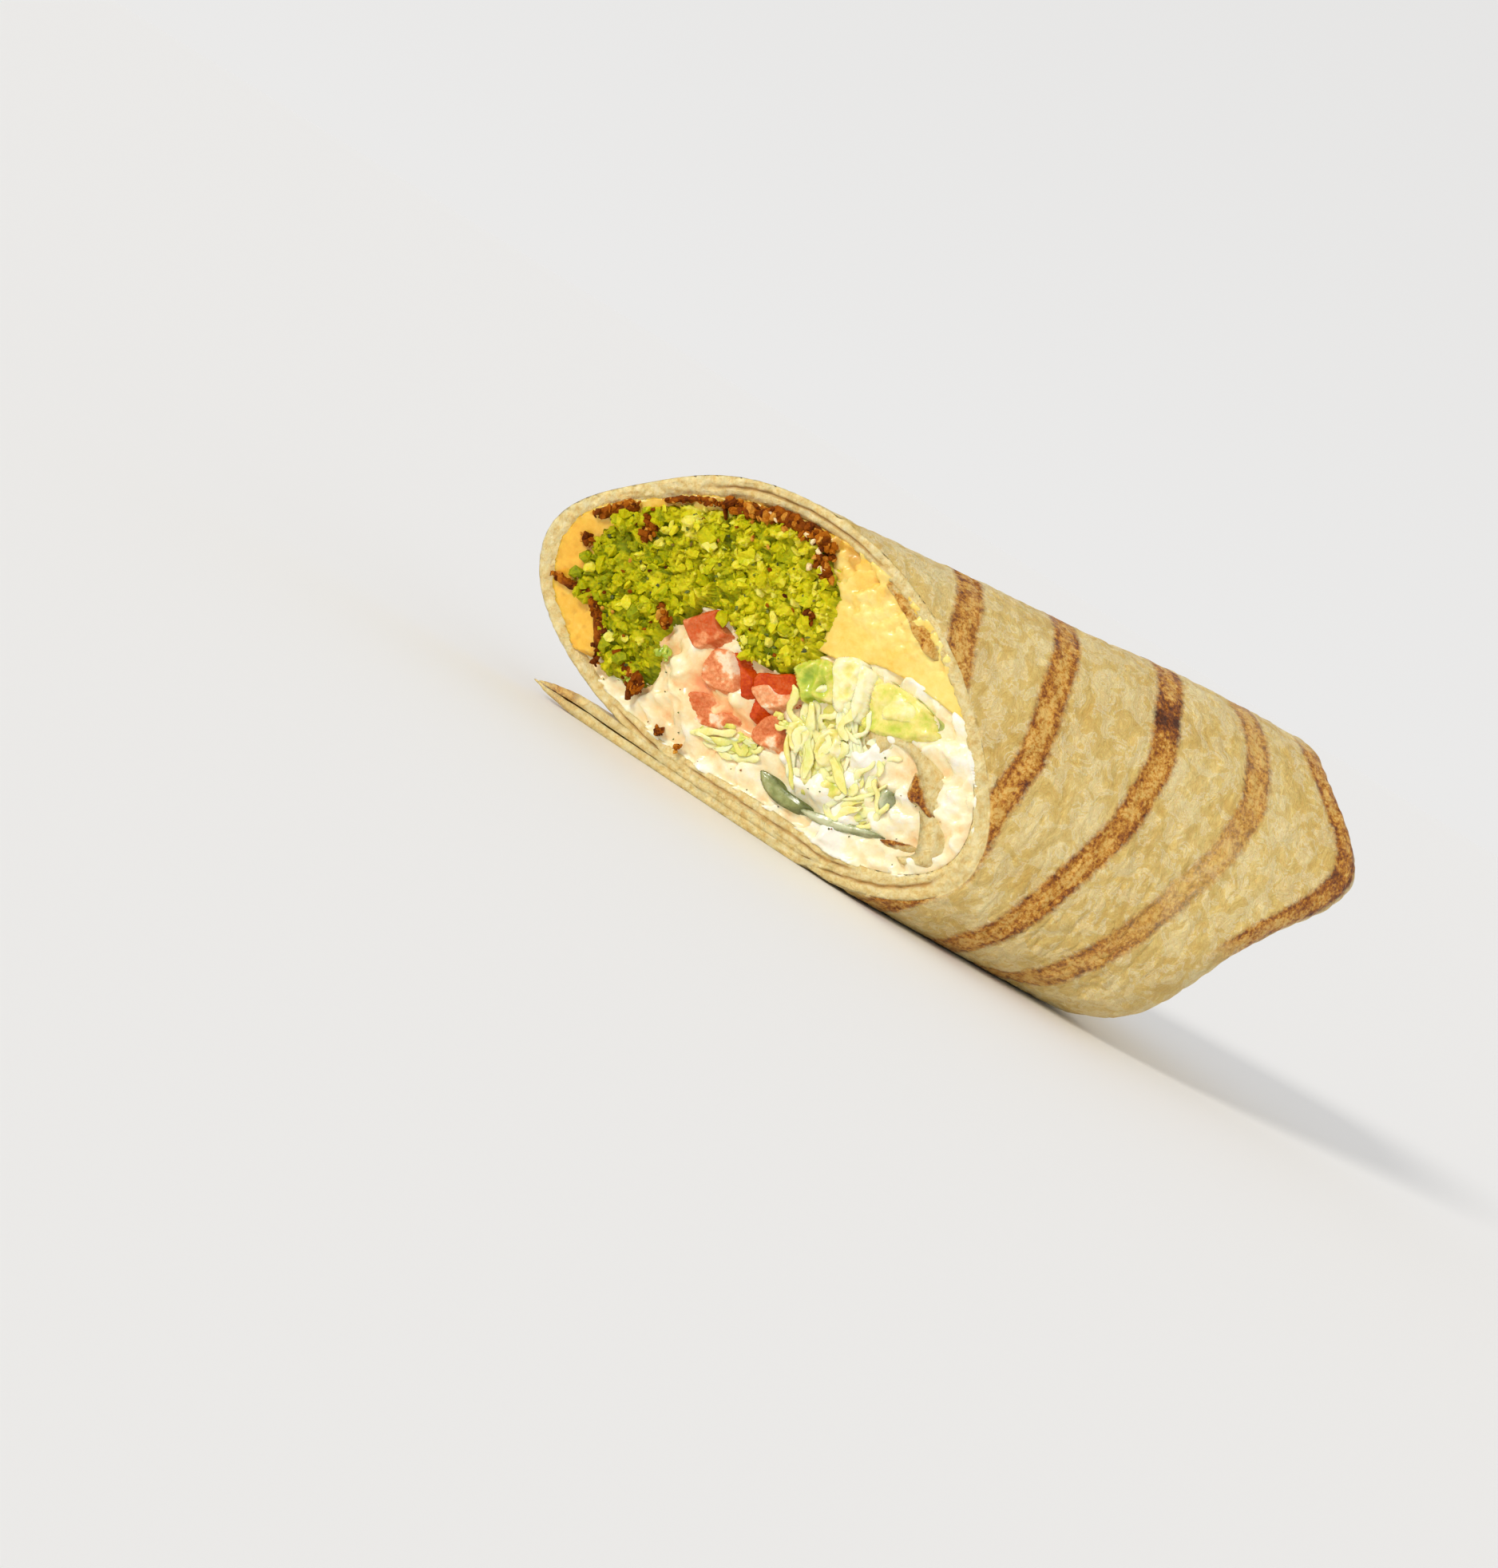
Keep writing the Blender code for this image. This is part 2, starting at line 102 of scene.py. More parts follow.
def grains(points, size, seed=0):
    """Distance to the nearest and second nearest of scattered grains, the nearest one's number, and the way from it."""
    scaled = points / size
    base = np.floor(scaled)
    first = np.full(points.shape[:-1], 9.0)
    second, number, way = first.copy(), np.zeros_like(first), np.zeros_like(points)
    for corner in itertools.product((-1, 0, 1), repeat=3):
        cell = base + np.array(corner)
        grain = cell + np.stack([chance(cell, seed + k) for k in range(3)], axis=-1)
        far = np.linalg.norm(scaled - grain, axis=-1)
        near = far < first
        second = np.where(near, first, np.minimum(second, far))
        number = np.where(near, chance(cell, seed + 7), number)
        way = np.where(near[..., None], scaled - grain, way)
        first = np.where(near, far, first)
    return first * size, second * size, number, way * size


# The roll's own surfaces --------------------------------------------------------------------

def outer_radius(angle, x):
    """Radius of the outer skin: a swelling circle, slumped into a soft triangle."""
    radius = 27.3 + 6.0 * smooth_step((x + 35.0) / 145.0)
    radius = radius + 2.2 * np.cos(3.0 * (angle + math.radians(18.1)))
    radius = radius + 0.8 * np.cos(2.0 * (angle + math.radians(29.8)))
    return radius + 1.9 * (1.0 - 0.7 * smooth_step(x / 90.0)) * hump(angle, 268.0, 42.0)


def axis_height(x):
    """Height of the axis, so that the underside stays on the surface below."""
    return outer_radius(np.array(1.5 * math.pi), x) - 0.5


def wall(angle):
    """Thickness of the rolled sheet: single, double over the top, thickest at the seam."""
    return WALL + 1.5 * hump(angle, 92.0, 34.0) + 3.6 * hump(angle, 262.0, 40.0)


def end_x(angle):
    """Where the rim of the folded end lies, with its two pinched corners."""
    off = (np.degrees(angle) - 146.0 + 180.0) % 360.0 - 180.0
    ear = 12.5 * np.exp(-((off / np.where(off < 0.0, 22.0, 30.0)) ** 2))
    return END_X + END_LEAN * np.sin(angle) + ear + 5.0 * hump(angle, 330.0, 30.0)


def knife_x(y, z):
    """Where the knife's plane lies at this place on the section."""
    return -KNIFE_Y * y - KNIFE_Z * (z - CUT_HEIGHT)


def ring(angle, x, inset):
    """Points of the roll at distance inset inside its skin: axis + (radius - inset) along the angle."""
    radius = outer_radius(angle, x) - inset
    y = radius * np.cos(angle)
    z = axis_height(x) + radius * np.sin(angle)
    return np.stack(np.broadcast_arrays(x, y, np.maximum(z, 0.4 + inset)), axis=-1)


def cut_ring(angle, inset):
    """The ring that lies in the knife's plane, by a few rounds of substitution."""
    x = np.zeros_like(angle)
    for _ in range(14):
        points = ring(angle, x, inset)
        x = knife_x(points[..., 1], points[..., 2])
    return ring(angle, x, inset)


# The cut face has its own flat coordinates: s along its slope, t across it, both in true mm
SLOPE = math.hypot(KNIFE_Y, KNIFE_Z)
STRETCH = math.hypot(1.0, SLOPE)
ALONG = np.array([-KNIFE_Y, -KNIFE_Z]) / SLOPE
ACROSS = np.array([ALONG[1], -ALONG[0]])
OUT = -np.array([1.0, KNIFE_Y, KNIFE_Z]) / STRETCH
S_AXIS = np.array([SLOPE, *ALONG]) / STRETCH
T_AXIS = np.array([0.0, *ACROSS])


def to_face(section):
    """Section points (y, z) as face coordinates (s, t)."""
    off = section - np.array([0.0, CUT_HEIGHT])
    return np.stack([off @ ALONG * STRETCH, off @ ACROSS], axis=-1)


def to_section(face):
    """Face coordinates (s, t) as section points (y, z)."""
    return face[..., :1] / STRETCH * ALONG + face[..., 1:] * ACROSS + np.array([0.0, CUT_HEIGHT])


def on_cut(section, proud=0.0):
    """Points on the knife's plane over section points (y, z), moved proud mm out of it."""
    y, z = section[..., 0], section[..., 1]
    flat = np.stack([knife_x(y, z), y, z], axis=-1)
    return flat + np.asarray(proud)[..., None] * OUT


def inside_wall(section, sink=0.35):
    """Section points pulled in to the sheet's inner side, and sink mm into it so no gap shows."""
    y, z = section[..., 0], section[..., 1]
    x = knife_x(y, z)
    up = z - axis_height(x)
    angle, radius = np.arctan2(up, y), np.hypot(y, up)
    limit = outer_radius(angle, x) - wall(angle) + sink
    shrink = np.minimum(1.0, limit / np.maximum(radius, 1e-6))
    return np.stack([y * shrink, axis_height(x) + up * shrink], axis=-1)


def carried(points, x):
    """Points carried along the roll to x, spreading as its cavity widens."""
    up = points[..., 2] - axis_height(points[..., 0])
    angle = np.arctan2(up, points[..., 1])
    here = outer_radius(angle, points[..., 0]) - wall(angle)
    grow = (outer_radius(angle, x) - wall(angle)) / here
    there = np.broadcast_to(x, grow.shape)
    return np.stack([there, points[..., 1] * grow, axis_height(there) + up * grow], axis=-1)


# Meshes -----------------------------------------------------------------------------------

def piece(name, points, faces, material, nodes, slot, broken=False, **marks):
    """A piece of the object from points in roll mm, smooth or broken in facets, with one number per point for each mark."""
    points = points + MIDDLE
    mesh = bpy.data.meshes.new(name)
    mesh.from_pydata((points * MM).tolist(), [], [np.asarray(f).tolist() for f in faces] if isinstance(faces, list) else faces.tolist())
    for mark, values in marks.items():
        layer = mesh.attributes.new(mark, "FLOAT", "POINT")
        layer.data.foreach_set("value", np.ascontiguousarray(values, np.float32).ravel())
    mesh.update()
    if not broken:
        mesh.shade_smooth()
    mesh.materials.append(material)
    obj = bpy.data.objects.new(name, mesh)
    bpy.context.collection.objects.link(obj)
    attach(obj, "root")
    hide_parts(*nodes)
    return obj


def strip_quads(rows, columns, wrap):
    """Quads of a grid of points, row by row, joined round its columns if wrap."""
    row, column = np.meshgrid(np.arange(rows - 1), np.arange(columns if wrap else columns - 1), indexing="ij")
    after = (column + 1) % columns
    quads = [row * columns + column, row * columns + after, (row + 1) * columns + after, (row + 1) * columns + column]
    return np.stack(quads, axis=-1).reshape(-1, 4)


def closed_tube(rings):
    """Points and faces of rings joined in order, each end closed by a fan to its middle."""
    rows, count = rings.shape[:2]
    points = np.concatenate([rings.reshape(-1, 3), rings[0].mean(0)[None], rings[-1].mean(0)[None]])
    index = np.arange(count)
    after = (index + 1) % count
    first, last = np.full(count, rows * count), np.full(count, rows * count + 1)
    base = (rows - 1) * count
    faces = strip_quads(rows, count, True).tolist()
    faces += np.stack([after, index, first], axis=-1).tolist()
    faces += np.stack([base + index, base + after, last], axis=-1).tolist()
    return points, faces


def slab(under, over):
    """A closed sheet between two grids of equal size: its two sides, and a strip round the edge."""
    rows, columns = under.shape[:2]
    count = rows * columns
    top = strip_quads(rows, columns, False)
    grid = np.arange(count).reshape(rows, columns)
    rim = np.concatenate([grid[0], grid[1:, -1], grid[-1, -2::-1], grid[-2:0:-1, 0]])
    after = np.roll(rim, -1)
    side = np.stack([rim, after, after + count, rim + count], axis=-1)
    points = np.concatenate([under.reshape(-1, 3), over.reshape(-1, 3)])
    return points, np.concatenate([top[:, ::-1], top + count, side])


def smooth_loop(corners, per_corner=6, closed=True):
    """A Catmull-Rom curve through the corners."""
    p = np.array(corners, float)
    if not closed:
        p = np.vstack([2 * p[0] - p[1], p, 2 * p[-1] - p[-2]])
    before, after, later = np.roll(p, 1, 0), np.roll(p, -1, 0), np.roll(p, -2, 0)
    t = (np.arange(per_corner) / per_corner)[None, :, None]
    before, after, later, here = (q[:, None] for q in (before, after, later, p))
    curve = 0.5 * (2.0 * here + (after - before) * t + (2.0 * before - 5.0 * here + 4.0 * after - later) * t ** 2
                   + (3.0 * here - before - 3.0 * after + later) * t ** 3)
    if not closed:
        return np.vstack([curve[1:-2].reshape(-1, p.shape[1]), p[-2]])
    return curve.reshape(-1, p.shape[1])


def edge_distance(points, loop):
    """Signed distance of flat points from a closed loop, more than 0 inside, and the nearest place on it."""
    a, b = loop, np.roll(loop, -1, 0)
    best = np.full(len(points), 1e9)
    nearest = np.zeros_like(points)
    inside = np.zeros(len(points), bool)
    for start, end in zip(a, b):
        side = end - start
        share = np.clip((points - start) @ side / max(side @ side, 1e-12), 0.0, 1.0)
        foot = start + share[:, None] * side
        far = np.linalg.norm(points - foot, axis=1)
        closer = far < best
        best = np.where(closer, far, best)
        nearest = np.where(closer[:, None], foot, nearest)
        crosses = (start[1] > points[:, 1]) != (end[1] > points[:, 1])
        reach = start[0] + (points[:, 1] - start[1]) * side[0] / (side[1] if abs(side[1]) > 1e-12 else 1e-12)
        inside ^= crosses & (points[:, 0] < reach)
    return np.where(inside, best, -best), nearest


def filling(name, outline, relief, spacing, material, nodes, slot, back_x=FILLING_END, back_step=None, **extra):
    """A filling that runs into the roll behind its cut face.

    A lattice of points in the face coordinates is kept inside the outline and its border is drawn
    onto the outline.  The front is the knife's plane plus relief(point, distance from the border)
    along OUT, and the back is the same lattice carried along the roll.
    """
    loop = to_face(inside_wall(smooth_loop(outline)))
    low, high = loop.min(0) - spacing, loop.max(0) + spacing
    s, t = (np.arange(low[k], high[k] + spacing, spacing) for k in (0, 1))
    lattice = np.stack(np.meshgrid(s, t, indexing="ij"), axis=-1)
    rows, columns = lattice.shape[:2]
    flat = lattice.reshape(-1, 2)
    depth, foot = edge_distance(flat, loop)
    quads = strip_quads(rows, columns, False)[:, [0, 3, 2, 1]]
    quads = quads[(depth[quads] > -0.55 * spacing).all(axis=1)]
    flat = np.where((depth < 0.5 * spacing)[:, None], foot, flat)
    kept, quads = np.unique(quads, return_inverse=True)
    quads = quads.reshape(-1, 4)
    flat, depth = flat[kept], np.maximum(depth[kept], 0.0)
    section = to_section(flat)
    ground = on_cut(section)
    height, marks = relief(ground, depth)
    # What stands proud leans out of the knife's plane, and what lies low is pushed straight back into the roll
    front = ground + np.where(height[:, None] > 0.0, height[:, None] * OUT, height[:, None] * np.array([-STRETCH, 0.0, 0.0]))
    back = carried(ground, back_x) if back_step is None else ground + np.array([back_step, 0.0, 0.0])
    count = len(front)
    ends = np.concatenate([quads[:, [k, (k + 1) % 4]] for k in range(4)])
    _, back_index, number = np.unique(np.sort(ends, axis=1), axis=0, return_inverse=True, return_counts=True)
    edge, rim = np.unique(ends[number[back_index.reshape(-1)] == 1], return_inverse=True)
    rim = rim.reshape(-1, 2)
    levels, rings = [edge], []
    for share in (0.03, 0.10, 0.20, 0.32, 0.46, 0.62, 0.80) if back_step is None else ():
        levels.append(2 * count + len(rings) * len(edge) + np.arange(len(edge)))
        rings.append(carried(ground[edge], ground[edge, 0] + (back_x - ground[edge, 0]) * share))
    levels.append(edge + count)
    side = [np.stack([a[rim[:, 1]], a[rim[:, 0]], b[rim[:, 0]], b[rim[:, 1]]], axis=-1) for a, b in zip(levels, levels[1:])]
    faces = np.concatenate([quads, quads[:, ::-1] + count, *side])
    marks = {mark: np.concatenate([values, values, *[values[edge]] * len(rings)]) for mark, values in marks.items()}
    return piece(name, np.concatenate([front, back, *rings]), faces, material, nodes, slot, **marks)


def turns(count, generator):
    """Random turning matrices, from random quaternions."""
    q = generator.normal(size=(count, 4))
    w, x, y, z = (q / np.linalg.norm(q, axis=1, keepdims=True)).T
    rows = [[1 - 2 * (y * y + z * z), 2 * (x * y - z * w), 2 * (x * z + y * w)],
            [2 * (x * y + z * w), 1 - 2 * (x * x + z * z), 2 * (y * z - x * w)],
            [2 * (x * z - y * w), 2 * (y * z + x * w), 1 - 2 * (x * x + y * y)]]
    return np.array([[entry for entry in row] for row in rows]).transpose(2, 0, 1)


FACE_TURN = np.stack([S_AXIS, T_AXIS, OUT], axis=1)


def lumps(centres, sizes, rough, generator, rings=4, around=7, lie_flat=False, tones=None):
    """Points, faces and tones of many uneven lumps joined in one mesh.

    Each is a ball of rings x around points: centre + turn (size * direction) (1 + rough * noise).
    """
    count = len(centres)
    polar = (np.arange(rings) + 1) * math.pi / (rings + 1)
    azimuth = np.arange(around) * TAU / around
    p, a = np.meshgrid(polar, azimuth, indexing="ij")
    ball = np.stack([np.sin(p) * np.cos(a), np.sin(p) * np.sin(a), np.cos(p)], axis=-1).reshape(-1, 3)
    ball = np.vstack([ball, [0.0, 0.0, 1.0], [0.0, 0.0, -1.0]])
    wobble = 1.0 + rough * soft_noise(ball[None] * 1.6 + 31.0 * np.arange(count)[:, None, None], 1.0, 5)
    shape = ball[None] * sizes[:, None, :] * wobble[..., None]
    if lie_flat:
        spin = generator.uniform(0.0, TAU, count)
        c, s, o, i = np.cos(spin), np.sin(spin), np.zeros(count), np.ones(count)
        turn = FACE_TURN @ np.array([[c, -s, o], [s, c, o], [o, o, i]]).transpose(2, 0, 1)
    else:
        turn = turns(count, generator)
    points = np.einsum("nij,nkj->nki", turn, shape) + centres[:, None]
    each = len(ball)
    quads = strip_quads(rings, around, True)[:, ::-1]
    index = np.arange(around)
    after = (index + 1) % around
    top = np.stack([index, after, np.full(around, each - 2), np.full(around, each - 2)], axis=-1)[:, :3]
    base = (rings - 1) * around
    low = np.stack([base + after, base + index, np.full(around, each - 1)], axis=-1)
    offset = (np.arange(count) * each)[:, None, None]
    faces = (quads[:, ::-1][None] + 0 * offset)[:, :, ::-1] + offset
    faces = faces.reshape(-1, 4).tolist()
    faces += (top[None] + offset).reshape(-1, 3).tolist() + (low[None] + offset).reshape(-1, 3).tolist()
    tones = generator.uniform(0.0, 1.0, count) if tones is None else tones
    return points.reshape(-1, 3), faces, np.repeat(tones, each)


def scattered_in(outline, number, generator, shrink=0.0):
    """Random section points inside an outline, at least shrink mm from its border."""
    loop = to_face(inside_wall(smooth_loop(outline)))
    flat = generator.uniform(loop.min(0), loop.max(0), (number * 6, 2))
    depth, _ = edge_distance(flat, loop)
    return to_section(flat[depth > shrink][:number])


# Materials ----------------------------------------------------------------------------------

def linear(code, alpha=1.0):
    """An sRGB hex colour as linear values."""
    srgb = np.array([int(code[k:k + 2], 16) / 255.0 for k in (0, 2, 4)])
    plain = np.where(srgb <= 0.04045, srgb / 12.92, ((srgb + 0.055) / 1.055) ** 2.4)
    return (*plain, alpha)


def per_mm(size):
    """The texture scale whose features are size mm wide."""
    return 1.0 / (size * MM)


def add(tree, kind, inputs=None, stops=None, **settings):
    """A node with its settings, its colour stops, and its sockets set or linked as (node, output)."""
    node = tree.nodes.new(kind)
    for name, value in settings.items():
        setattr(node, name, value)
    if stops:
        ramp = node.color_ramp
        while len(ramp.elements) < len(stops):
            ramp.elements.new(1.0)
        for element, (position, code) in zip(ramp.elements, stops):
            element.position, element.color = position, linear(code)
    for name, value in (inputs or {}).items():
        if isinstance(value, tuple) and isinstance(value[0], bpy.types.Node):
            tree.links.new(value[0].outputs[value[1]], node.inputs[name])
        else:
            node.inputs[name].default_value = value
    return node


def new_material(name, roughness, ior=1.45, depth_mm=0.0, depth_share=0.0, coat=0.0, gloss=0.5):
    """A material with its shader's plain values set: (material, tree, shader)."""
    material = bpy.data.materials.new(name)
    material.use_nodes = True
    tree = material.node_tree
    shader = tree.nodes["Principled BSDF"]
    shader.inputs["Roughness"].default_value = roughness
    shader.inputs["IOR"].default_value = ior
    shader.inputs["Subsurface Weight"].default_value = depth_share
    shader.inputs["Subsurface Scale"].default_value = depth_mm * MM
    shader.inputs["Coat Weight"].default_value = coat
    shader.inputs["Coat Roughness"].default_value = 0.15
    shader.inputs["Specular IOR Level"].default_value = gloss
    return material, tree, shader


def bumped(tree, shader, source, depth_mm, strength=1.0, before=None):
    """Fine relief on the shader from a texture's output."""
    inputs = {"Height": source, "Distance": depth_mm * MM, "Strength": strength}
    if before:
        inputs["Normal"] = (before, "Normal")
    node = add(tree, "ShaderNodeBump", inputs)
    tree.links.new(node.outputs["Normal"], shader.inputs["Normal"])
    return node


def grilled_tortilla():
    """Wheat flour tortilla, rolled thin and pressed on a ribbed grill: pale and matt, with mottled blisters and fine
    puckers, and toasted bands whose borders are darkest; with painted shade in the puckers' creases and along the cut
    edge's layer grooves, and thin painted highlight lines."""
    material, tree, shader = new_material("grilled wheat tortilla", 0.34, depth_mm=1.2, depth_share=0.08, gloss=0.45)
    place = (add(tree, "ShaderNodeTexCoord"), "Object")
    broad = add(tree, "ShaderNodeTexNoise", {"Vector": place, "Scale": per_mm(15.0), "Detail": 4.0, "Roughness": 0.6})
    spots = add(tree, "ShaderNodeTexNoise", {"Vector": place, "Scale": per_mm(3.6), "Detail": 6.0, "Roughness": 0.65, "Distortion": 0.8})
    drawn = add(tree, "ShaderNodeMapping", {"Vector": place, "Scale": (1.0, 0.55, 0.55), "Rotation": (0.3, 0.15, 0.25)})
    puckers = add(tree, "ShaderNodeTexNoise", {"Vector": (drawn, "Vector"), "Scale": per_mm(2.2), "Detail": 6.0, "Roughness": 0.68, "Distortion": 1.4})
    skin = add(tree, "ShaderNodeValToRGB", {"Fac": (broad, "Fac")}, [(0.34, "D9B45A"), (0.50, "E9CC76"), (0.66, "F5E09C")])
    mottle = add(tree, "ShaderNodeValToRGB", {"Fac": (spots, "Fac")}, [(0.36, "DEB760"), (0.50, "F0D48A"), (0.66, "FFF2C6")])
    base = add(tree, "ShaderNodeMix", {0: 0.5, "A": (skin, "Color"), "B": (mottle, "Color")}, data_type="RGBA")
    # Fine puckers: painted shade, a little darker in their creases, the ridges left pale
    crease = add(tree, "ShaderNodeMath", {0: (puckers, "Fac"), 1: 0.5}, operation="SUBTRACT")
    crease = add(tree, "ShaderNodeMath", {0: (crease, 0)}, operation="ABSOLUTE")
    streak = add(tree, "ShaderNodeValToRGB", {"Fac": (crease, 0)}, [(0.0, "C49A50"), (0.03, "F8F0DA"), (0.10, "FFFFFF")])
    base = add(tree, "ShaderNodeMix", {0: 0.32, "A": (base, 2), "B": (streak, "Color")}, data_type="RGBA", blend_type="MULTIPLY")
    # and painted highlights: thin bright lines where the mottle noise crosses its middle
    tight = add(tree, "ShaderNodeMath", {0: (spots, "Fac"), 1: 0.53}, operation="SUBTRACT")
    tight = add(tree, "ShaderNodeMath", {0: (tight, 0)}, operation="ABSOLUTE")
    tight = add(tree, "ShaderNodeMapRange", {"Value": (tight, 0), "From Min": 0.022, "From Max": 0.0, "To Max": 0.5})
    base = add(tree, "ShaderNodeMix", {0: (tight, 0), "A": (base, 2), "B": linear("FFF4D2")}, data_type="RGBA")
    # Grill bands: "across" is the distance from a band's middle in mm, "toast" how strongly it took
    across = (add(tree, "ShaderNodeAttribute", attribute_name="across"), "Fac")
    toast = (add(tree, "ShaderNodeAttribute", attribute_name="toast"), "Fac")
    ragged = add(tree, "ShaderNodeTexNoise", {"Vector": place, "Scale": per_mm(1.1), "Detail": 6.0, "Roughness": 0.7})
    wander = add(tree, "ShaderNodeMath", {0: (ragged, "Fac"), 1: 2.4, 2: -1.2}, operation="MULTIPLY_ADD")
    edge = add(tree, "ShaderNodeMath", {0: across, 1: (wander, 0)}, operation="ADD")
    burnt = add(tree, "ShaderNodeMapRange", {"Value": (edge, 0), "From Min": 3.4, "From Max": 2.3})
    border = add(tree, "ShaderNodeMapRange", {"Value": (edge, 0), "From Min": 0.9, "From Max": 2.2})
    both = add(tree, "ShaderNodeMath", {0: (burnt, 0), 1: toast}, operation="MULTIPLY")
    speck = add(tree, "ShaderNodeTexNoise", {"Vector": place, "Scale": per_mm(0.75), "Detail": 5.0, "Roughness": 0.75})
    clusters = add(tree, "ShaderNodeTexNoise", {"Vector": place, "Scale": per_mm(3.0), "Detail": 3.0, "Roughness": 0.6})
    patchy = add(tree, "ShaderNodeMath", {0: (clusters, "Fac"), 1: 0.7, 2: -0.42}, operation="MULTIPLY_ADD")
    heat = add(tree, "ShaderNodeMath", {0: (border, 0), 1: 0.13, 2: (patchy, 0)}, operation="MULTIPLY_ADD")
    heat = add(tree, "ShaderNodeMath", {0: (speck, "Fac"), 1: (heat, 0)}, operation="ADD")
    char = (add(tree, "ShaderNodeAttribute", attribute_name="char"), "Fac")
    heat = add(tree, "ShaderNodeMath", {0: (heat, 0), 1: char}, operation="ADD")
    brown = add(tree, "ShaderNodeValToRGB", {"Fac": (heat, 0)}, [(0.32, "EABD66"), (0.44, "D89A38"), (0.54, "B97318"), (0.66, "8A480A"), (0.84, "4E2404")])
    base = add(tree, "ShaderNodeMix", {0: (both, 0), "A": (base, 2), "B": (brown, "Color")}, data_type="RGBA")
    # The cut edge: paler crumb, with painted shade along the groove where two layers part
    cut = (add(tree, "ShaderNodeAttribute", attribute_name="cut"), "Fac")
    layer = (add(tree, "ShaderNodeAttribute", attribute_name="layer"), "Fac")
    crumb = add(tree, "ShaderNodeTexNoise", {"Vector": place, "Scale": per_mm(1.4), "Detail": 6.0, "Roughness": 0.7})
    pale = add(tree, "ShaderNodeValToRGB", {"Fac": (crumb, "Fac")}, [(0.32, "E2BA68"), (0.50, "F4DC98"), (0.70, "FDEFBE")])
    lined = add(tree, "ShaderNodeMix", {0: layer, "A": (pale, "Color"), "B": linear("C4924A")}, data_type="RGBA")
    base = add(tree, "ShaderNodeMix", {0: cut, "A": (base, 2), "B": (lined, 2)}, data_type="RGBA")
    tree.links.new(base.outputs[2], shader.inputs["Base Color"])
    first = bumped(tree, shader, (crease, 0), 1.8, 0.7)
    second = bumped(tree, shader, (spots, "Fac"), 0.5, 0.6, first)
    bumped(tree, shader, (speck, "Fac"), 0.22, 0.8, second)
    return material


def crumbly_food(name, stops, roughness, fine_mm, relief_mm, depth_share, coat=0.0, pit="3A4A0C", pit_share=0.7, gloss=0.5):
    """A food whose grains each have a tone, with fine relief; its pit mark mixes in a darker colour: painted shade in
    the hollows and crevices of falafel, cheese, sauce and lettuce, and real spots, gherkin skin and browning elsewhere.
    """
    material, tree, shader = new_material(name, roughness, depth_mm=1.2, depth_share=depth_share, coat=coat, gloss=gloss)
    place = (add(tree, "ShaderNodeTexCoord"), "Object")
    tone = (add(tree, "ShaderNodeAttribute", attribute_name="tone"), "Fac")
    hollow = (add(tree, "ShaderNodeAttribute", attribute_name="pit"), "Fac")
    fine = add(tree, "ShaderNodeTexNoise", {"Vector": place, "Scale": per_mm(fine_mm), "Detail": 5.0, "Roughness": 0.65})
    shift = add(tree, "ShaderNodeMath", {0: (fine, "Fac"), 1: 0.7, 2: -0.35}, operation="MULTIPLY_ADD")
    value = add(tree, "ShaderNodeMath", {0: tone, 1: (shift, 0)}, operation="ADD")
    colour = add(tree, "ShaderNodeValToRGB", {"Fac": (value, 0)}, stops)
    # Pit mark: painted shade in hollows and crevices on some foods, real spots, skin and browning on others
    share = add(tree, "ShaderNodeMath", {0: hollow, 1: pit_share}, operation="MULTIPLY")
    base = add(tree, "ShaderNodeMix", {0: (share, 0), "A": (colour, "Color"), "B": linear(pit)}, data_type="RGBA")
    tree.links.new(base.outputs[2], shader.inputs["Base Color"])
    bumped(tree, shader, (fine, "Fac"), relief_mm)
    return material


TORTILLA = grilled_tortilla()
# The pit colours below serve as painted shade in hollows on the falafel, cheese, sauce and lettuce, and as the colour
# of real spots, skin and browning
# Chickpea and parsley paste, fried: a moist, bright green crumb with yellow bits of pea
FALAFEL = crumbly_food("falafel crumb", [(0.05, "526200"), (0.22, "848F00"), (0.40, "AEAE00"), (0.58, "CCC300"), (0.76, "E4D722"), (0.95, "F6E96E")], 0.5, 0.7, 0.25, 0.3, pit="5E6800", pit_share=0.8, gloss=0.2)
# Its fried crust: dry, rough, red-brown
CRUST = crumbly_food("fried falafel crust", [(0.05, "501E00"), (0.35, "8A4200"), (0.65, "B56608"), (0.95, "E4A440")], 0.6, 0.6, 0.3, 0.0, pit="3A1500", gloss=0.12)
# Melted yellow cheese with cheese sauce: smooth, soft gloss, slightly granular
CHEESE = crumbly_food("melted cheese", [(0.05, "E6A31C"), (0.35, "F7C03C"), (0.60, "FFD669"), (0.95, "FFE991")], 0.30, 1.6, 0.13, 0.3, coat=0.45, pit="BB770E", pit_share=0.5)
# Garlic cream sauce: glossy, peach-white, pinker where tomato juice has run into it
SAUCE = crumbly_food("garlic cream sauce", [(0.05, "F9A468"), (0.28, "FCC486"), (0.50, "FDDFA6"), (0.74, "FFF0C6"), (0.97, "FFFAEA")], 0.22, 1.8, 0.22, 0.2, coat=0.5, pit="D28C3C", pit_share=0.7)
# Shredded lettuce: thin, wet, from green leaf to white rib
LETTUCE = crumbly_food("shredded lettuce", [(0.02, "9CB626"), (0.25, "CCD445"), (0.50, "EFE274"), (0.75, "FFF0A8"), (0.97, "FFF6CC")], 0.24, 1.3, 0.12, 0.3, coat=0.5, pit="9EA93A", pit_share=0.5)
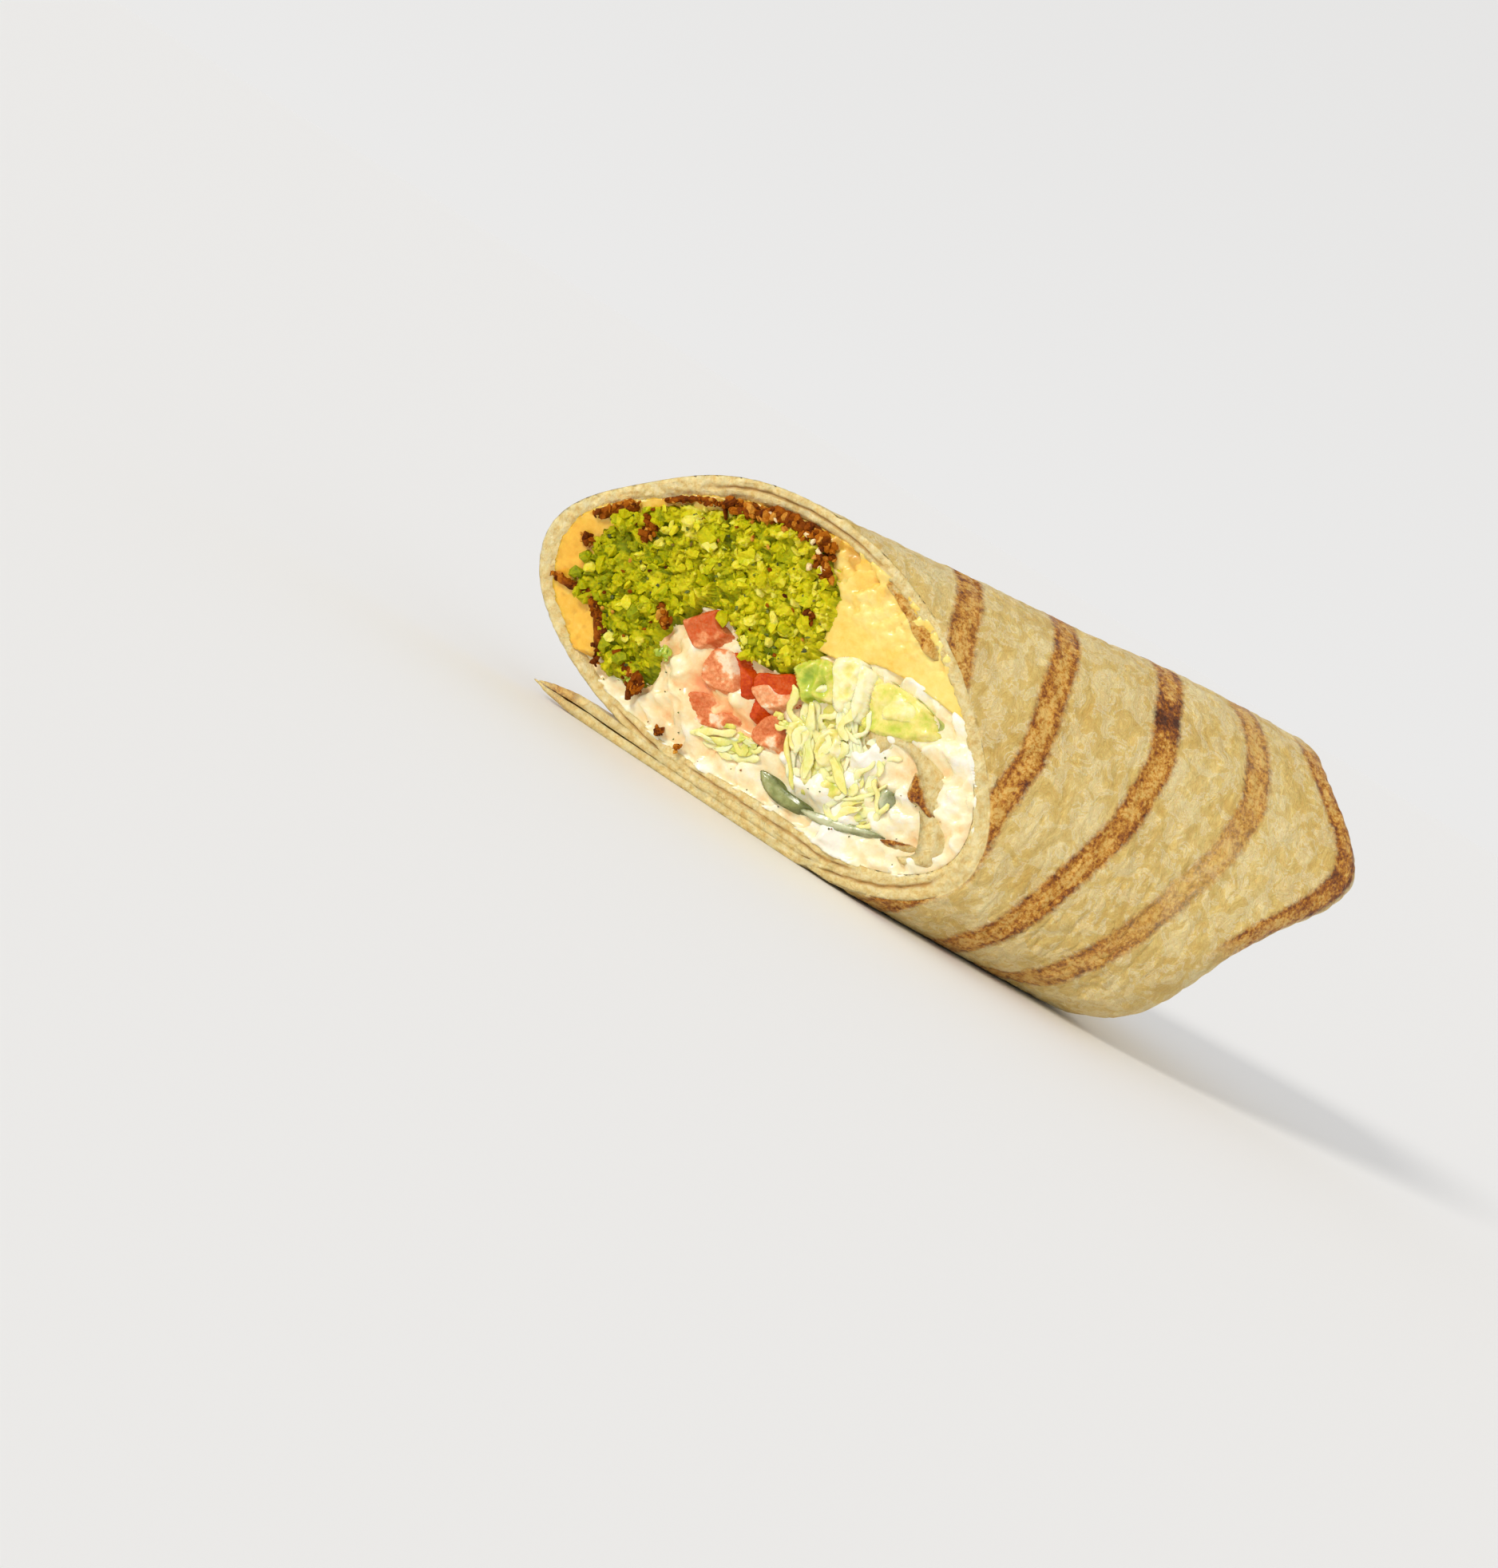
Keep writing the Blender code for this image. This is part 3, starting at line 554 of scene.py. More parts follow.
# Tomato flesh: wet and pink-red with a sugary grain; its skin is smoother and deeper red
TOMATO = crumbly_food("diced tomato", [(0.02, "C43A00"), (0.16, "D65000"), (0.36, "D66E3A"), (0.58, "EE955E"), (0.78, "FABC88"), (0.95, "FEE4C0")], 0.24, 0.5, 0.2, 0.05, coat=0.12, pit="B03A10", pit_share=0.4, gloss=0.25)
# Gherkin: dark olive skin and a grey-green wet inside
PICKLE = crumbly_food("pickled gherkin", [(0.05, "3E4718"), (0.35, "6C7534"), (0.65, "9AA061"), (0.95, "C9CDA6")], 0.22, 1.1, 0.1, 0.2, coat=0.6, pit="2E3510")
# Parsley and pepper flecks
FLECK = crumbly_food("herb and pepper flecks", [(0.05, "3E4218"), (0.50, "6E7A2A"), (0.95, "A4501C")], 0.5, 0.4, 0.1, 0.0)


# Tortilla -------------------------------------------------------------------------------------

BANDS = [
    # the middle of each grill band along the roll (mm) at each angle (degrees), and how strong it is
    ([(0, -17), (60, -16), (300, -19)], [(0, 0.9), (40, 0.7), (62, 0.0), (290, 0.0), (315, 0.9)]),
    ([(0, 3), (60, 2), (300, 0)], [(0, 0.8), (45, 0.7), (62, 0.0), (290, 0.0), (315, 0.9)]),
    ([(0, 24), (93, 23.5), (130, 21.5), (150, 23.5), (200, 22), (270, 21), (330, 24)], [(0, 0.9), (93, 1.0), (200, 0.9), (270, 0.3), (330, 0.8)]),
    ([(0, 43), (93, 44), (134, 41.5), (161, 42), (184, 40), (206, 41), (227, 38), (270, 36), (320, 41)], [(0, 0.9), (90, 1.0), (236, 1.0), (262, 0.3), (300, 0.6)]),
    ([(0, 66), (100, 66), (126, 64.5), (140, 65.5), (166, 63.5), (190, 59), (212, 56), (229, 54), (270, 53), (320, 61)], [(0, 0.8), (90, 1.0), (236, 1.0), (262, 0.3), (300, 0.7)]),
    ([(0, 86), (105, 83.5), (124, 85), (141, 86), (160, 83.5), (178, 79.5), (196, 75.5), (215, 71.5), (232, 69), (245, 64), (270, 65), (320, 78)], [(0, 0.7), (90, 0.8), (140, 0.85), (172, 0.5), (205, 0.9), (240, 0.9), (262, 0.3), (300, 0.6)]),
]


def grill_marks(angle, x, rim_x):
    """Distance from the nearest band's middle, its strength, and extra char, at each point."""
    degrees = np.degrees(angle) % 360.0
    across, toast = np.full(np.shape(x), 9.0), np.zeros(np.shape(x))
    for middle, strength in BANDS:
        at = np.interp(degrees, *np.array(middle, float).T, period=360.0)
        far = np.abs(x - at)
        near = far < across
        across = np.where(near, far, across)
        toast = np.where(near, np.interp(degrees, *np.array(strength, float).T, period=360.0), toast)
    far = np.abs(x - rim_x + 4.0)
    near = (far < across) & (degrees > 96.0) & (degrees < 196.0)
    across = np.where(near, far, across)
    toast = np.where(near, smooth_step((degrees - 96.0) / 14.0) * smooth_step((196.0 - degrees) / 16.0), toast)
    char = 0.30 * hump(angle, 126.0, 6.0) * np.exp(-((x - 65.0) / 5.0) ** 2)
    char = char + 0.12 * hump(angle, 146.0, 12.0) * np.exp(-((x - rim_x + 5.0) / 5.0) ** 2)
    return across, toast, char


def skin_relief(points):
    """Puckers drawn round the roll, low blisters and a broad unevenness, in mm."""
    drawn = points * np.array([1.0, 0.5, 0.5])
    pucker = np.abs(soft_noise(drawn + 3.0 * soft_noise(points, 9.0, 3)[..., None] * 0.4, 2.6, 11))
    near, _, number, _ = grains(points, 7.0, 21)
    blister = np.maximum(0.0, 1.0 - (near / 3.2) ** 2) ** 2 * smooth_step((number - 0.45) / 0.3)
    broad = soft_noise(points, 24.0, 31) * 0.45 + soft_noise(points, 9.0, 32) * 0.16
    crackle = np.abs(soft_noise(drawn + 1.2 * soft_noise(points, 4.0, 5)[..., None], 1.7, 12))
    relief = broad + 0.38 * blister - 0.28 * (1.0 - pucker) ** 5 - 0.22 * (1.0 - crackle) ** 4 + 0.12
    return np.maximum(relief + 0.10 * soft_noise(drawn, 1.1, 41), -0.62)


def sheet_edge(angle, deep, thick, points):
    """Relief of the cut edge: rounded borders, a groove where two layers part, torn crumb, in mm."""
    wander = 0.25 * soft_noise(points, 5.0, 51) + 0.12 * soft_noise(points, 1.6, 52)
    groove = np.zeros_like(deep)
    for layer, least in ((1.65, 2.5), (3.35, 4.1)):
        groove = groove + smooth_step((thick - least) / 0.5) * np.exp(-((deep + wander - layer) / 0.22) ** 2)
    border = np.exp(-(deep / 0.3) ** 2) + np.exp(-((thick - deep) / 0.3) ** 2)
    proud = 0.25 * soft_noise(points, 1.1, 53) + 0.14 * soft_noise(points, 0.55, 54) - 0.6 * groove - 0.35 * border
    return proud, np.minimum(1.0, groove)


def rolled_sheet():
    """The rolled sheet as one closed tube of rings: in along its inner side, over the cut edge,
    out along the skin, round the rim and in over the folded end to its middle."""
    count = 400
    angle = np.arange(count) * TAU / count
    thick = wall(angle)
    last = np.full(count, END_X - END_LEAN - 6.0)
    blank = np.zeros(count)
    rings, marks = [], []

    # The inner side, from deep in the roll to the cut
    mouth = cut_ring(angle, thick)
    for share in (0.96, 0.6, 0.3, 0.12, 0.06, 0.03, 0.012):
        x = mouth[:, 0] + (last - 2.0 - mouth[:, 0]) * share
        rings.append(ring(angle, x, thick))
        marks.append((blank + 9.0, blank, blank, blank + 1.0, blank))
    # The cut edge
    for share in np.linspace(1.0, 0.0, 18):
        deep = thick * share
        points = cut_ring(angle, deep)
        proud, groove = sheet_edge(angle, deep, thick, points)
        rings.append(points + proud[:, None] * OUT)
        marks.append((blank + 9.0, blank, blank, blank + 1.0, groove))
    # The skin, from the cut to the rim of the folded end
    rim_x = end_x(angle)
    rim = 9.0 - 5.5 * np.sin(angle)
    start, body = cut_ring(angle, blank)[:, 0], rim_x - rim
    outward = np.stack([blank, np.cos(angle), np.sin(angle)], axis=-1)
    for share in np.linspace(0.0, 1.0, 168)[1:]:
        x = start + (body - start) * share
        points = ring(angle, x, 0.0)
        fade = smooth_step((x - start) / 1.2)
        relief = skin_relief(points) - 0.35 * (1.0 - fade)
        relief = np.where(points[:, 2] < 2.0, np.minimum(relief, 0.0), relief)
        moved = points + relief[:, None] * outward
        moved[:, 2] = np.maximum(moved[:, 2], 0.4)
        rings.append(moved)
        marks.append((*grill_marks(angle, x, rim_x), 1.0 - smooth_step((x - start) / 0.5), blank))
    for turn in np.radians(np.linspace(0.0, 90.0, 14)[1:]):
        x = body + rim * math.sin(turn)
        points = ring(angle, x, 0.6 * rim * (1.0 - math.cos(turn)))
        lean = outward * math.cos(turn) + np.array([math.sin(turn), 0.0, 0.0])
        moved = points + skin_relief(points)[:, None] * lean
        moved[:, 2] = np.maximum(moved[:, 2], 0.4)
        rings.append(moved)
        marks.append((*grill_marks(angle, x, rim_x), blank, blank))
    # The folded end: the tucked layers wind in with a spiral step, with creases towards the corners
    edge = ring(angle, rim_x, 0.6 * rim)
    middle_x, middle_z = rim_x.mean() - 1.8, edge[:, 2].mean()
    for share in np.linspace(1.0, 0.02, 44)[1:]:
        phase = (angle / TAU + 1.1 * share) % 1.0
        step = 3.2 * np.minimum(phase, 34.0 * (1.0 - phase)) * smooth_step(3.0 * share)
        crease = 1.7 * (hump(angle, 150.0 + 30.0 * (1.0 - share), 7.0) + hump(angle, 325.0 - 25.0 * (1.0 - share), 8.0) + 0.7 * hump(angle, 55.0, 9.0))
        x = middle_x + (rim_x - middle_x) * share ** 1.4 + 3.0 * (1.0 - share ** 2) - step - crease * smooth_step(4.0 * share) * smooth_step(4.0 * (1.05 - share))
        points = np.stack([x, edge[:, 1] * share, middle_z + (edge[:, 2] - middle_z) * share], axis=-1)
        relief = skin_relief(points) * min(1.0, 2.0 * share)
        rings.append(points + relief[:, None] * np.array([1.0, 0.0, 0.0]))
        across, toast, char = grill_marks(angle, x, rim_x)
        marks.append((across, toast * smooth_step((share - 0.7) / 0.25), char * share, blank, blank))
    points, faces = closed_tube(np.array(rings))
    names = ("across", "toast", "char", "cut", "layer")
    values = {}
    for k, name in enumerate(names):
        column = np.concatenate([mark[k] for mark in marks])
        values[name] = np.append(column, [marks[0][k].mean(), marks[-1][k].mean()])
    return piece("rolled_tortilla", points, faces, TORTILLA, ["tortilla"], "tortilla", **values)


rolled_sheet()


# The loose lap: (across from the axis, underside, top) in mm at the cut and at its point
LAP_AT_CUT = np.array([(-12.5, 2.6, 3.6), (-8.0, 0.0, 3.3), (-7.0, 0.0, 3.3), (7.0, 0.0, 3.3), (21.0, 0.0, 4.2),
                       (22.0, 0.0, 4.2), (25.5, 0.8, 3.3), (27.8, 1.7, 2.3)])
LAP_AT_POINT = np.array([(-5.0, 1.4, 2.4), (-0.4, 0.0, 2.4), (-0.2, 0.0, 2.4), (0.0, 0.0, 2.4), (0.2, 0.0, 2.4),
                         (0.4, 0.0, 2.4), (1.2, 0.3, 2.3), (2.2, 0.8, 2.0)])
LAP_LENGTH = 80.0


def lap_sheet(name, low_share, high_share, reach, seed):
    """One of the lap's two thicknesses: a slab ruled from the cut's profile to its point's.

    Across share u and length share v give y, underside and top; its loose border is rounded by
    thinning it as sqrt(1 - (1 - off/0.9)^2), and both sides carry the skin's puckers.
    """
    u = np.concatenate([np.linspace(0.0, 0.9, 70), np.linspace(0.9, 1.0, 22)[1:]])
    v = np.concatenate([np.linspace(0.0, 0.04, 8), np.linspace(0.04, 1.0, 130)[1:]])[:, None]
    corner = np.linspace(0.0, 1.0, len(LAP_AT_CUT))
    cut, point = ([np.interp(u, corner, profile[:, k]) for k in range(3)] for profile in (LAP_AT_CUT, LAP_AT_POINT))
    y, low, high = (a + (b - a) * v for a, b in zip(cut, point))
    width = y.max(axis=1, keepdims=True) - y.min(axis=1, keepdims=True)
    border = reach * (0.6 * soft_noise(np.stack([v * 80.0 + 0 * u, 0 * v + 0 * u, 0 * v + 0 * u + seed], axis=-1), 9.0, seed) + 0.4)
    y = y - border * smooth_step((u - 0.5) / 0.5) * np.minimum(1.0, width / 12.0)
    thick = high - low
    under, over = low + thick * low_share, low + thick * high_share
    off = np.maximum(0.0, (1.0 - u) * width)
    round_off = np.sqrt(np.clip(1.0 - (1.0 - np.minimum(off / 0.9, 1.0)) ** 2, 0.02, 1.0))
    middle, half = 0.5 * (under + over), 0.5 * (over - under) * round_off
    x_cut = -KNIFE_Y * y - KNIFE_Z * (middle - CUT_HEIGHT)
    x = x_cut + (LAP_LENGTH - x_cut) * v
    ground = np.stack([x, y, middle], axis=-1)
    rough = 0.35 * skin_relief(ground) + 0.12 * soft_noise(ground, 2.0, seed + 3)
    free = smooth_step((y - 21.0) / 4.0)
    frayed = (0.35 * soft_noise(ground, 1.5, seed + 4) + 0.3 * soft_noise(ground, 4.0, seed + 5)) * np.exp(-((x - x_cut) / 0.8) ** 2)
    sides = []
    for side in (-1.0, 1.0):
        z = middle + side * half + rough * (free if side < 0.0 else 1.0) * (side > 0.0 or low_share > 0.0 or 0.6)
        lean = KNIFE_Z * (z - middle) * (1.0 - v)
        sides.append(np.stack([x - lean + frayed, y, np.maximum(z, 0.03)], axis=-1))
    points, faces = slab(*sides)
    across, toast, char = [], [], []
    angle = np.arctan2(ground[..., 2] - axis_height(x), y)
    across, toast, char = grill_marks(angle, x, np.full_like(x, 300.0))
    tip = 1.2 * np.exp(-((y - 24.0) / 2.6) ** 2) * np.exp(-((x - x_cut) / 4.0) ** 2) * high_share
    across = np.where(tip > 0.45, 1.6, across)
    toast = np.maximum(toast * free, tip)
    cut_mark = np.exp(-((x - x_cut) / 0.35) ** 2) + 0 * y
    edge = smooth_step((0.9 - off) / 0.9) * 0.8
    both = lambda values: np.concatenate([(values + 0 * y).ravel()] * 2)
    marks = {"across": both(across), "toast": both(toast), "char": both(char), "cut": both(np.maximum(cut_mark, edge) * (1.0 - 0.7 * np.minimum(1.0, tip))), "layer": both(0 * y)}
    return piece(name, points, faces, TORTILLA, ["tortilla"], "tortilla", **marks)


lap_sheet("lap_underside", 0.0, 0.47, 0.0, 61)
lap_sheet("lap_top", 0.54, 1.0, 1.6, 71)


def inner_hook():
    """The sheet's inner end: a slab along a hooked path on the section, carried into the roll."""
    arc = np.radians(np.linspace(-15.0, 180.0, 40))
    path = np.vstack([np.array([-18.5, 25.6]) + 3.5 * np.stack([np.cos(arc), np.sin(arc)], axis=1),
                      smooth_loop([(-22.0, 25.6), (-22.4, 21.6), (-23.2, 17.4), (-22.8, 13.4), (-20.2, 10.9)], 8, closed=False)[1:]])
    along = np.gradient(path, axis=0)
    normal = np.stack([-along[:, 1], along[:, 0]], axis=1) / np.linalg.norm(along, axis=1, keepdims=True)
    share = np.linspace(0.0, 1.0, len(path))
    half = 0.95 * np.sqrt(np.clip(1.0 - (1.0 - np.minimum(share / 0.05, 1.0)) ** 2, 0.05, 1.0))
    half = half * (1.0 + 0.18 * np.sin(share * 17.0)) * (1.0 - 0.45 * smooth_step((share - 0.75) / 0.25))
    v = np.concatenate([[0.0, 0.4, 0.9, 1.6, 2.6], np.linspace(4.0, 40.0, 20)])
    sides = []
    for side in (-1.0, 1.0):
        section = path + side * half[:, None] * normal
        front = on_cut(section)
        rough = 0.2 * soft_noise(front, 2.2, 81)
        grid = front[None] + v[:, None, None] * np.array([1.0, 0.0, 0.0])
        grid = grid + (side * 0.18 * soft_noise(grid, 2.4, 82) )[..., None] * np.array([0.0, 1.0, 0.0])
        grid[0] += (rough + 0.15)[:, None] * OUT
        sides.append(grid)
    points, faces = slab(sides[1], sides[0])
    marks = {"cut": np.full(len(points), 1.0), "across": np.full(len(points), 9.0)}
    marks.update({mark: np.zeros(len(points)) for mark in ("toast", "char", "layer")})
    return piece("sheet_inner_end", points, faces, TORTILLA, ["tortilla"], "tortilla", **marks)


inner_hook()


TOASTED = {
    # where the toasted side of the sheet shows as it turns in: outline on the section (mm), lift (mm), how much browner
    "toasted_turn": ([(-20.1, 21.9), (-20.3, 24.2), (-20.6, 25.9), (-21.4, 25.2), (-22.1, 23.9), (-22.9, 22.4), (-23.2, 20.6), (-22.2, 20.7), (-21.3, 21.4), (-20.6, 20.9)], 1.0, 0.10),
    "toasted_slit": ([(-16.9, 11.9), (-19.1, 13.7), (-21.2, 14.4), (-20.4, 13.0), (-18.4, 11.8)], -0.1, 0.10),
    "toasted_lip": ([(-13.2, 51.2), (-15.2, 52.6), (-18.2, 49.8), (-20.4, 46.2), (-20.2, 44.4), (-18.5, 44.8), (-17.1, 46.6), (-15.5, 48.8)], 0.6, -0.13),
}


def relief_of_toast(lift, char):
    """Toasted sheet seen through the gap: uneven by 0.5 mm, darkest in the middle."""
    def relief(ground, depth):
        height = lift + 0.45 * soft_noise(ground, 1.8, 91) + 0.15 * soft_noise(ground, 0.7, 92) - 0.8 * (1.0 - smooth_step(depth / 0.5))
        toast = smooth_step((depth + 0.5 * soft_noise(ground, 1.3, 93)) / 0.45)
        return height, {"across": 1.6 + 0 * depth, "toast": toast, "char": char + 0 * depth, "cut": 0 * depth, "layer": 0 * depth}
    return relief


for name, (outline, *facts) in TOASTED.items():
    filling(name, outline, relief_of_toast(*facts), 0.2, TORTILLA, ["tortilla"], "tortilla", back_step=3.0)


# Fillings -------------------------------------------------------------------------------------

FALAFEL_OUTLINE = [
    (20.6, 36.0), (14.2, 42.4), (7.2, 47.8), (0.0, 50.8), (-5.2, 51.0), (-7.8, 46.5), (-7.2, 39.0), (-5.4, 32.5),
    (-2.5, 28.0), (2.2, 27.2), (5.0, 30.4), (8.2, 30.6), (10.8, 26.6), (13.9, 21.5), (13.6, 15.0), (16.0, 11.0),
    (19.4, 10.8), (20.8, 16.4), (22.6, 19.6), (25.2, 20.2), (23.8, 26.0), (22.0, 31.0),
]
CHEESE_OUTLINE = [
    (-34.0, 38.0), (-21.5, 38.6), (-17.5, 38.9), (-12.8, 38.0), (-9.0, 35.4), (0.0, 34.0), (10.0, 31.0), (15.0, 24.0),
    (18.4, 14.6), (24.0, 10.5), (36.0, 8.0), (44.0, 24.0), (36.0, 60.0), (0.0, 74.0), (-32.0, 64.0),
]
LETTUCE_OUTLINE = [
    (-5.6, 24.0), (-6.6, 31.0), (-9.4, 34.2), (-12.8, 36.6), (-17.6, 37.2), (-21.6, 35.6), (-20.6, 32.4), (-16.6, 29.0),
    (-13.6, 26.4), (-12.2, 20.4), (-11.4, 16.6), (-7.6, 15.4), (-5.6, 17.6), (-6.2, 21.0),
]


def beneath(ground, outline, margin=0.9):
    """From 0 outside an outline to 1 well inside it: where one filling passes behind another."""
    depth, _ = edge_distance(to_face(ground[..., 1:]), to_face(smooth_loop(outline)))
    return smooth_step((depth - 0.5) / margin)


def facets(ground, size, seed, lean):
    """Broken crumb: each grain is a flat facet, height number - 0.5 + lean * way along a direction of its own."""
    near, second, number, way = grains(ground, size, seed)
    turn = number * 97.0
    slope = (way @ S_AXIS) * np.cos(turn) + (way @ T_AXIS) * np.sin(turn)
    return number - 0.5 + lean * slope / size, number, second - near


def relief_of_falafel(ground, depth):
    """Coarse crumb: broken facets of 4.4, 2.3 and 1 mm over broad hollows, rounded at the border."""
    y, z = ground[:, 1], ground[:, 2]
    bent = ground + 0.5 * np.stack([soft_noise(ground, 1.6, 103 + k) for k in range(3)], axis=-1)
    broad = 0.6 * soft_noise(ground, 8.0, 101)
    big, number, _ = facets(bent, 4.4, 111, 0.8)
    small, small_number, gap = facets(bent, 2.3, 121, 0.9)
    fine, fine_number, _ = facets(ground, 1.0, 126, 0.8)
    height = 0.5 + broad + 1.2 * big + 1.0 * small + 0.6 * fine - 0.9 * (1.0 - smooth_step(depth / 1.6))
    tone = 0.54 + 0.22 * (number - 0.5) + 0.36 * (small_number - 0.5) + 0.14 * (fine_number - 0.5) + 0.14 * soft_noise(ground, 5.0, 131)
    tone = tone + 0.10 * smooth_step((2.0 - y) / 8.0) - 0.14 * smooth_step((y - 10.0) / 8.0)
    tone = tone - 0.20 * np.exp(-((y / 4.0) ** 2 + ((z - 28.6) / 2.0) ** 2))
    # The pit mark is painted shade: darker in low spots and in the crevices between grains
    pit = smooth_step((-0.2 - height) / 1.2) + 0.45 * np.exp(-(gap / 0.14) ** 2)
    return height, {"tone": tone, "pit": np.clip(pit, 0.0, 1.0)}


def relief_of_cheese(ground, depth):
    """Melted cheese: soft swells of 6 and 2.5 mm, granular towards the top."""
    y, z = ground[:, 1], ground[:, 2]
    near, _, number, _ = grains(ground, 1.6, 141)
    granular = smooth_step((z - 40.0) / 6.0)
    height = -0.25 + 0.55 * soft_noise(ground, 7.0, 142) + 0.28 * soft_noise(ground, 2.6, 143) + 0.07 * soft_noise(ground, 0.9, 144)
    height = height + granular * (0.5 * (number - 0.5) + 0.35 * (1.0 - (near / 0.9) ** 2))
    height = height + 0.5 * np.exp(-(((y + 13.0) / 5.0) ** 2 + ((z - 45.0) / 5.0) ** 2))
    tone = 0.55 + 0.16 * soft_noise(ground, 5.0, 145) + 0.16 * smooth_step((-y - 4.0) / 10.0) - 0.22 * smooth_step((y - 8.0) / 10.0)
    tone = tone - 0.10 * smooth_step((z - 46.0) / 6.0) + granular * 0.25 * (number - 0.5)
    brown = smooth_step((soft_noise(ground, 2.2, 146) - 0.35) / 0.4) * smooth_step((z - 44.0) / 6.0)
    brown = brown + 0.8 * smooth_step((soft_noise(ground, 1.4, 147) - 0.45) / 0.25) * smooth_step((y - 14.0) / 4.0)
    height = height - 3.0 * beneath(ground, FALAFEL_OUTLINE)
    # The pit mark: real browned spots near the top and by the wall, and painted shade where the cheese lies low or
    # passes behind the falafel
    return height, {"tone": tone, "pit": np.clip(brown + smooth_step((-0.5 - height) / 0.8), 0.0, 1.0)}


SAUCE_SWELLS = np.array([
    # where thick sauce swells over the filling: y, z, half width (mm), rise (mm)
    (8.2, 22.6, 2.6, 1.5), (10.0, 19.0, 2.2, 1.3), (9.0, 14.8, 2.6, 1.3), (8.6, 10.6, 2.4, 1.2), (2.2, 18.8, 1.6, 1.7),
    (1.6, 13.2, 1.6, 1.2), (-4.8, 21.0, 1.4, 1.1), (-9.8, 14.2, 2.0, 1.7), (-12.6, 17.6, 2.0, 1.6), (-14.6, 22.4, 2.0, 1.5),
    (-13.0, 12.6, 2.0, 1.2), (-16.6, 13.8, 1.8, 1.3), (-11.2, 6.9, 1.9, 2.0), (-19.0, 21.0, 1.4, 0.8), (-24.3, 32.0, 1.3, 1.4),
    (-24.6, 26.0, 1.2, 1.3), (-23.8, 38.0, 1.3, 1.2), (-21.6, 11.8, 1.5, 1.3), (12.0, 12.2, 1.8, 1.0), (5.0, 18.9, 1.0, 1.2),
    (-17.2, 28.6, 1.3, 1.0), (14.5, 9.6, 1.6, 0.8), (-0.4, 9.6, 2.0, 0.9), (3.6, 8.4, 1.6, 0.8), (-9.1, 12.8, 1.4, 1.4),
    (-6.6, 12.8, 1.3, 1.3), (-13.6, 22.6, 1.5, 1.5), (-18.5, 31.0, 1.5, 1.3), (-4.7, 15.0, 1.1, 1.0), (-16.0, 25.6, 1.6, 1.4),
])


def sauce_height(ground):
    """How high the sauce stands: a lumpy pool behind the cut with the listed swells."""
    y, z = ground[..., 1], ground[..., 2]
    height = -1.25 + 0.8 * soft_noise(ground, 4.5, 151) + 0.55 * soft_noise(ground, 1.9, 152) + 0.12 * soft_noise(ground, 0.8, 159)
    height = height + 0.5 * (1.0 - np.abs(soft_noise(ground, 3.2, 155))) ** 4
    strands = np.stack([ground[..., 0], y + 0.6 * z, 0.35 * (z - 0.6 * y)], axis=-1)
    height = height + 0.8 * smooth_step((-3.0 - y) / 6.0) * (1.0 - np.abs(soft_noise(strands, 2.8, 157))) ** 3 * smooth_step(0.5 + soft_noise(ground, 6.0, 158))
    for across, up, wide, rise in SAUCE_SWELLS:
        far = np.hypot((y - across) * STRETCH ** 0.6, z - up)
        height = height + rise * np.exp(-((far / wide) ** 2))
    return height


def relief_of_sauce(ground, depth):
    """The sauce's surface, pinker round the tomato and drawn up a little along the wall, with painted light and shade:
    lighter on its swells, darker in its valleys.
    """
    y, z = ground[:, 1], ground[:, 2]
    height = sauce_height(ground) + 0.7 * (1.0 - smooth_step(depth / 1.2)) * (1.0 - smooth_step((z - 33.0) / 4.0))
    for outline in (FALAFEL_OUTLINE, CHEESE_OUTLINE):
        height = height - 2.5 * beneath(ground, outline)
    pink = np.exp(-(((y - 6.0) / 7.0) ** 2 + ((z - 17.0) / 7.5) ** 2))
    # Tone rises with height: painted light on the swells and painted shade in the valleys
    tone = 0.76 - 0.50 * pink + 0.20 * soft_noise(ground, 3.0, 153) + 0.14 * soft_noise(ground, 1.0, 156) + 0.22 * np.clip(height + 0.6, -1.0, 1.0)
    specks, _, number, _ = grains(ground, 2.4, 154)
    # The pit mark: painted shade in the deepest valleys and behind the falafel and cheese, and real dark specks
    pit = smooth_step((-1.3 - height) / 0.6) * 0.8 + 0.7 * smooth_step((0.22 - specks) / 0.1) * (number > 0.86)
    return height, {"tone": tone, "pit": np.clip(pit, 0.0, 1.0)}


def relief_of_lettuce(ground, depth):
    """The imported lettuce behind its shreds: folds of 3 mm."""
    fold = soft_noise(ground * np.array([1.0, 1.0, 0.45]), 2.6, 161)
    height = -0.75 + 0.8 * fold + 0.25 * soft_noise(ground, 1.1, 162) - 0.5 * (1.0 - smooth_step(depth / 1.5))
    tone = 0.52 + 0.25 * soft_noise(ground, 4.0, 163) + 0.12 * soft_noise(ground, 1.2, 164)
    tone = tone + 0.22 * smooth_step((24.0 - ground[:, 2]) / 6.0)
    # The pit mark is painted shade in the low folds
    return height, {"tone": tone, "pit": smooth_step((-0.9 - height) / 0.8)}


around = np.arange(72) * TAU / 72
CAVITY_OUTLINE = cut_ring(around, wall(around) - 0.3)[:, 1:]

filling("cream_sauce_pool", CAVITY_OUTLINE[::3], relief_of_sauce, 0.42, SAUCE, ["cream_sauce"], "sauce")
filling("melted_cheese_layer", CHEESE_OUTLINE, relief_of_cheese, 0.42, CHEESE, ["melted_cheese"], "cheese")
filling("falafel_body", FALAFEL_OUTLINE, relief_of_falafel, 0.28, FALAFEL, ["falafel"], "falafel")
filling("lettuce_heart", LETTUCE_OUTLINE, relief_of_lettuce, 0.4, LETTUCE, ["lettuce"], "lettuce", back_x=60.0)


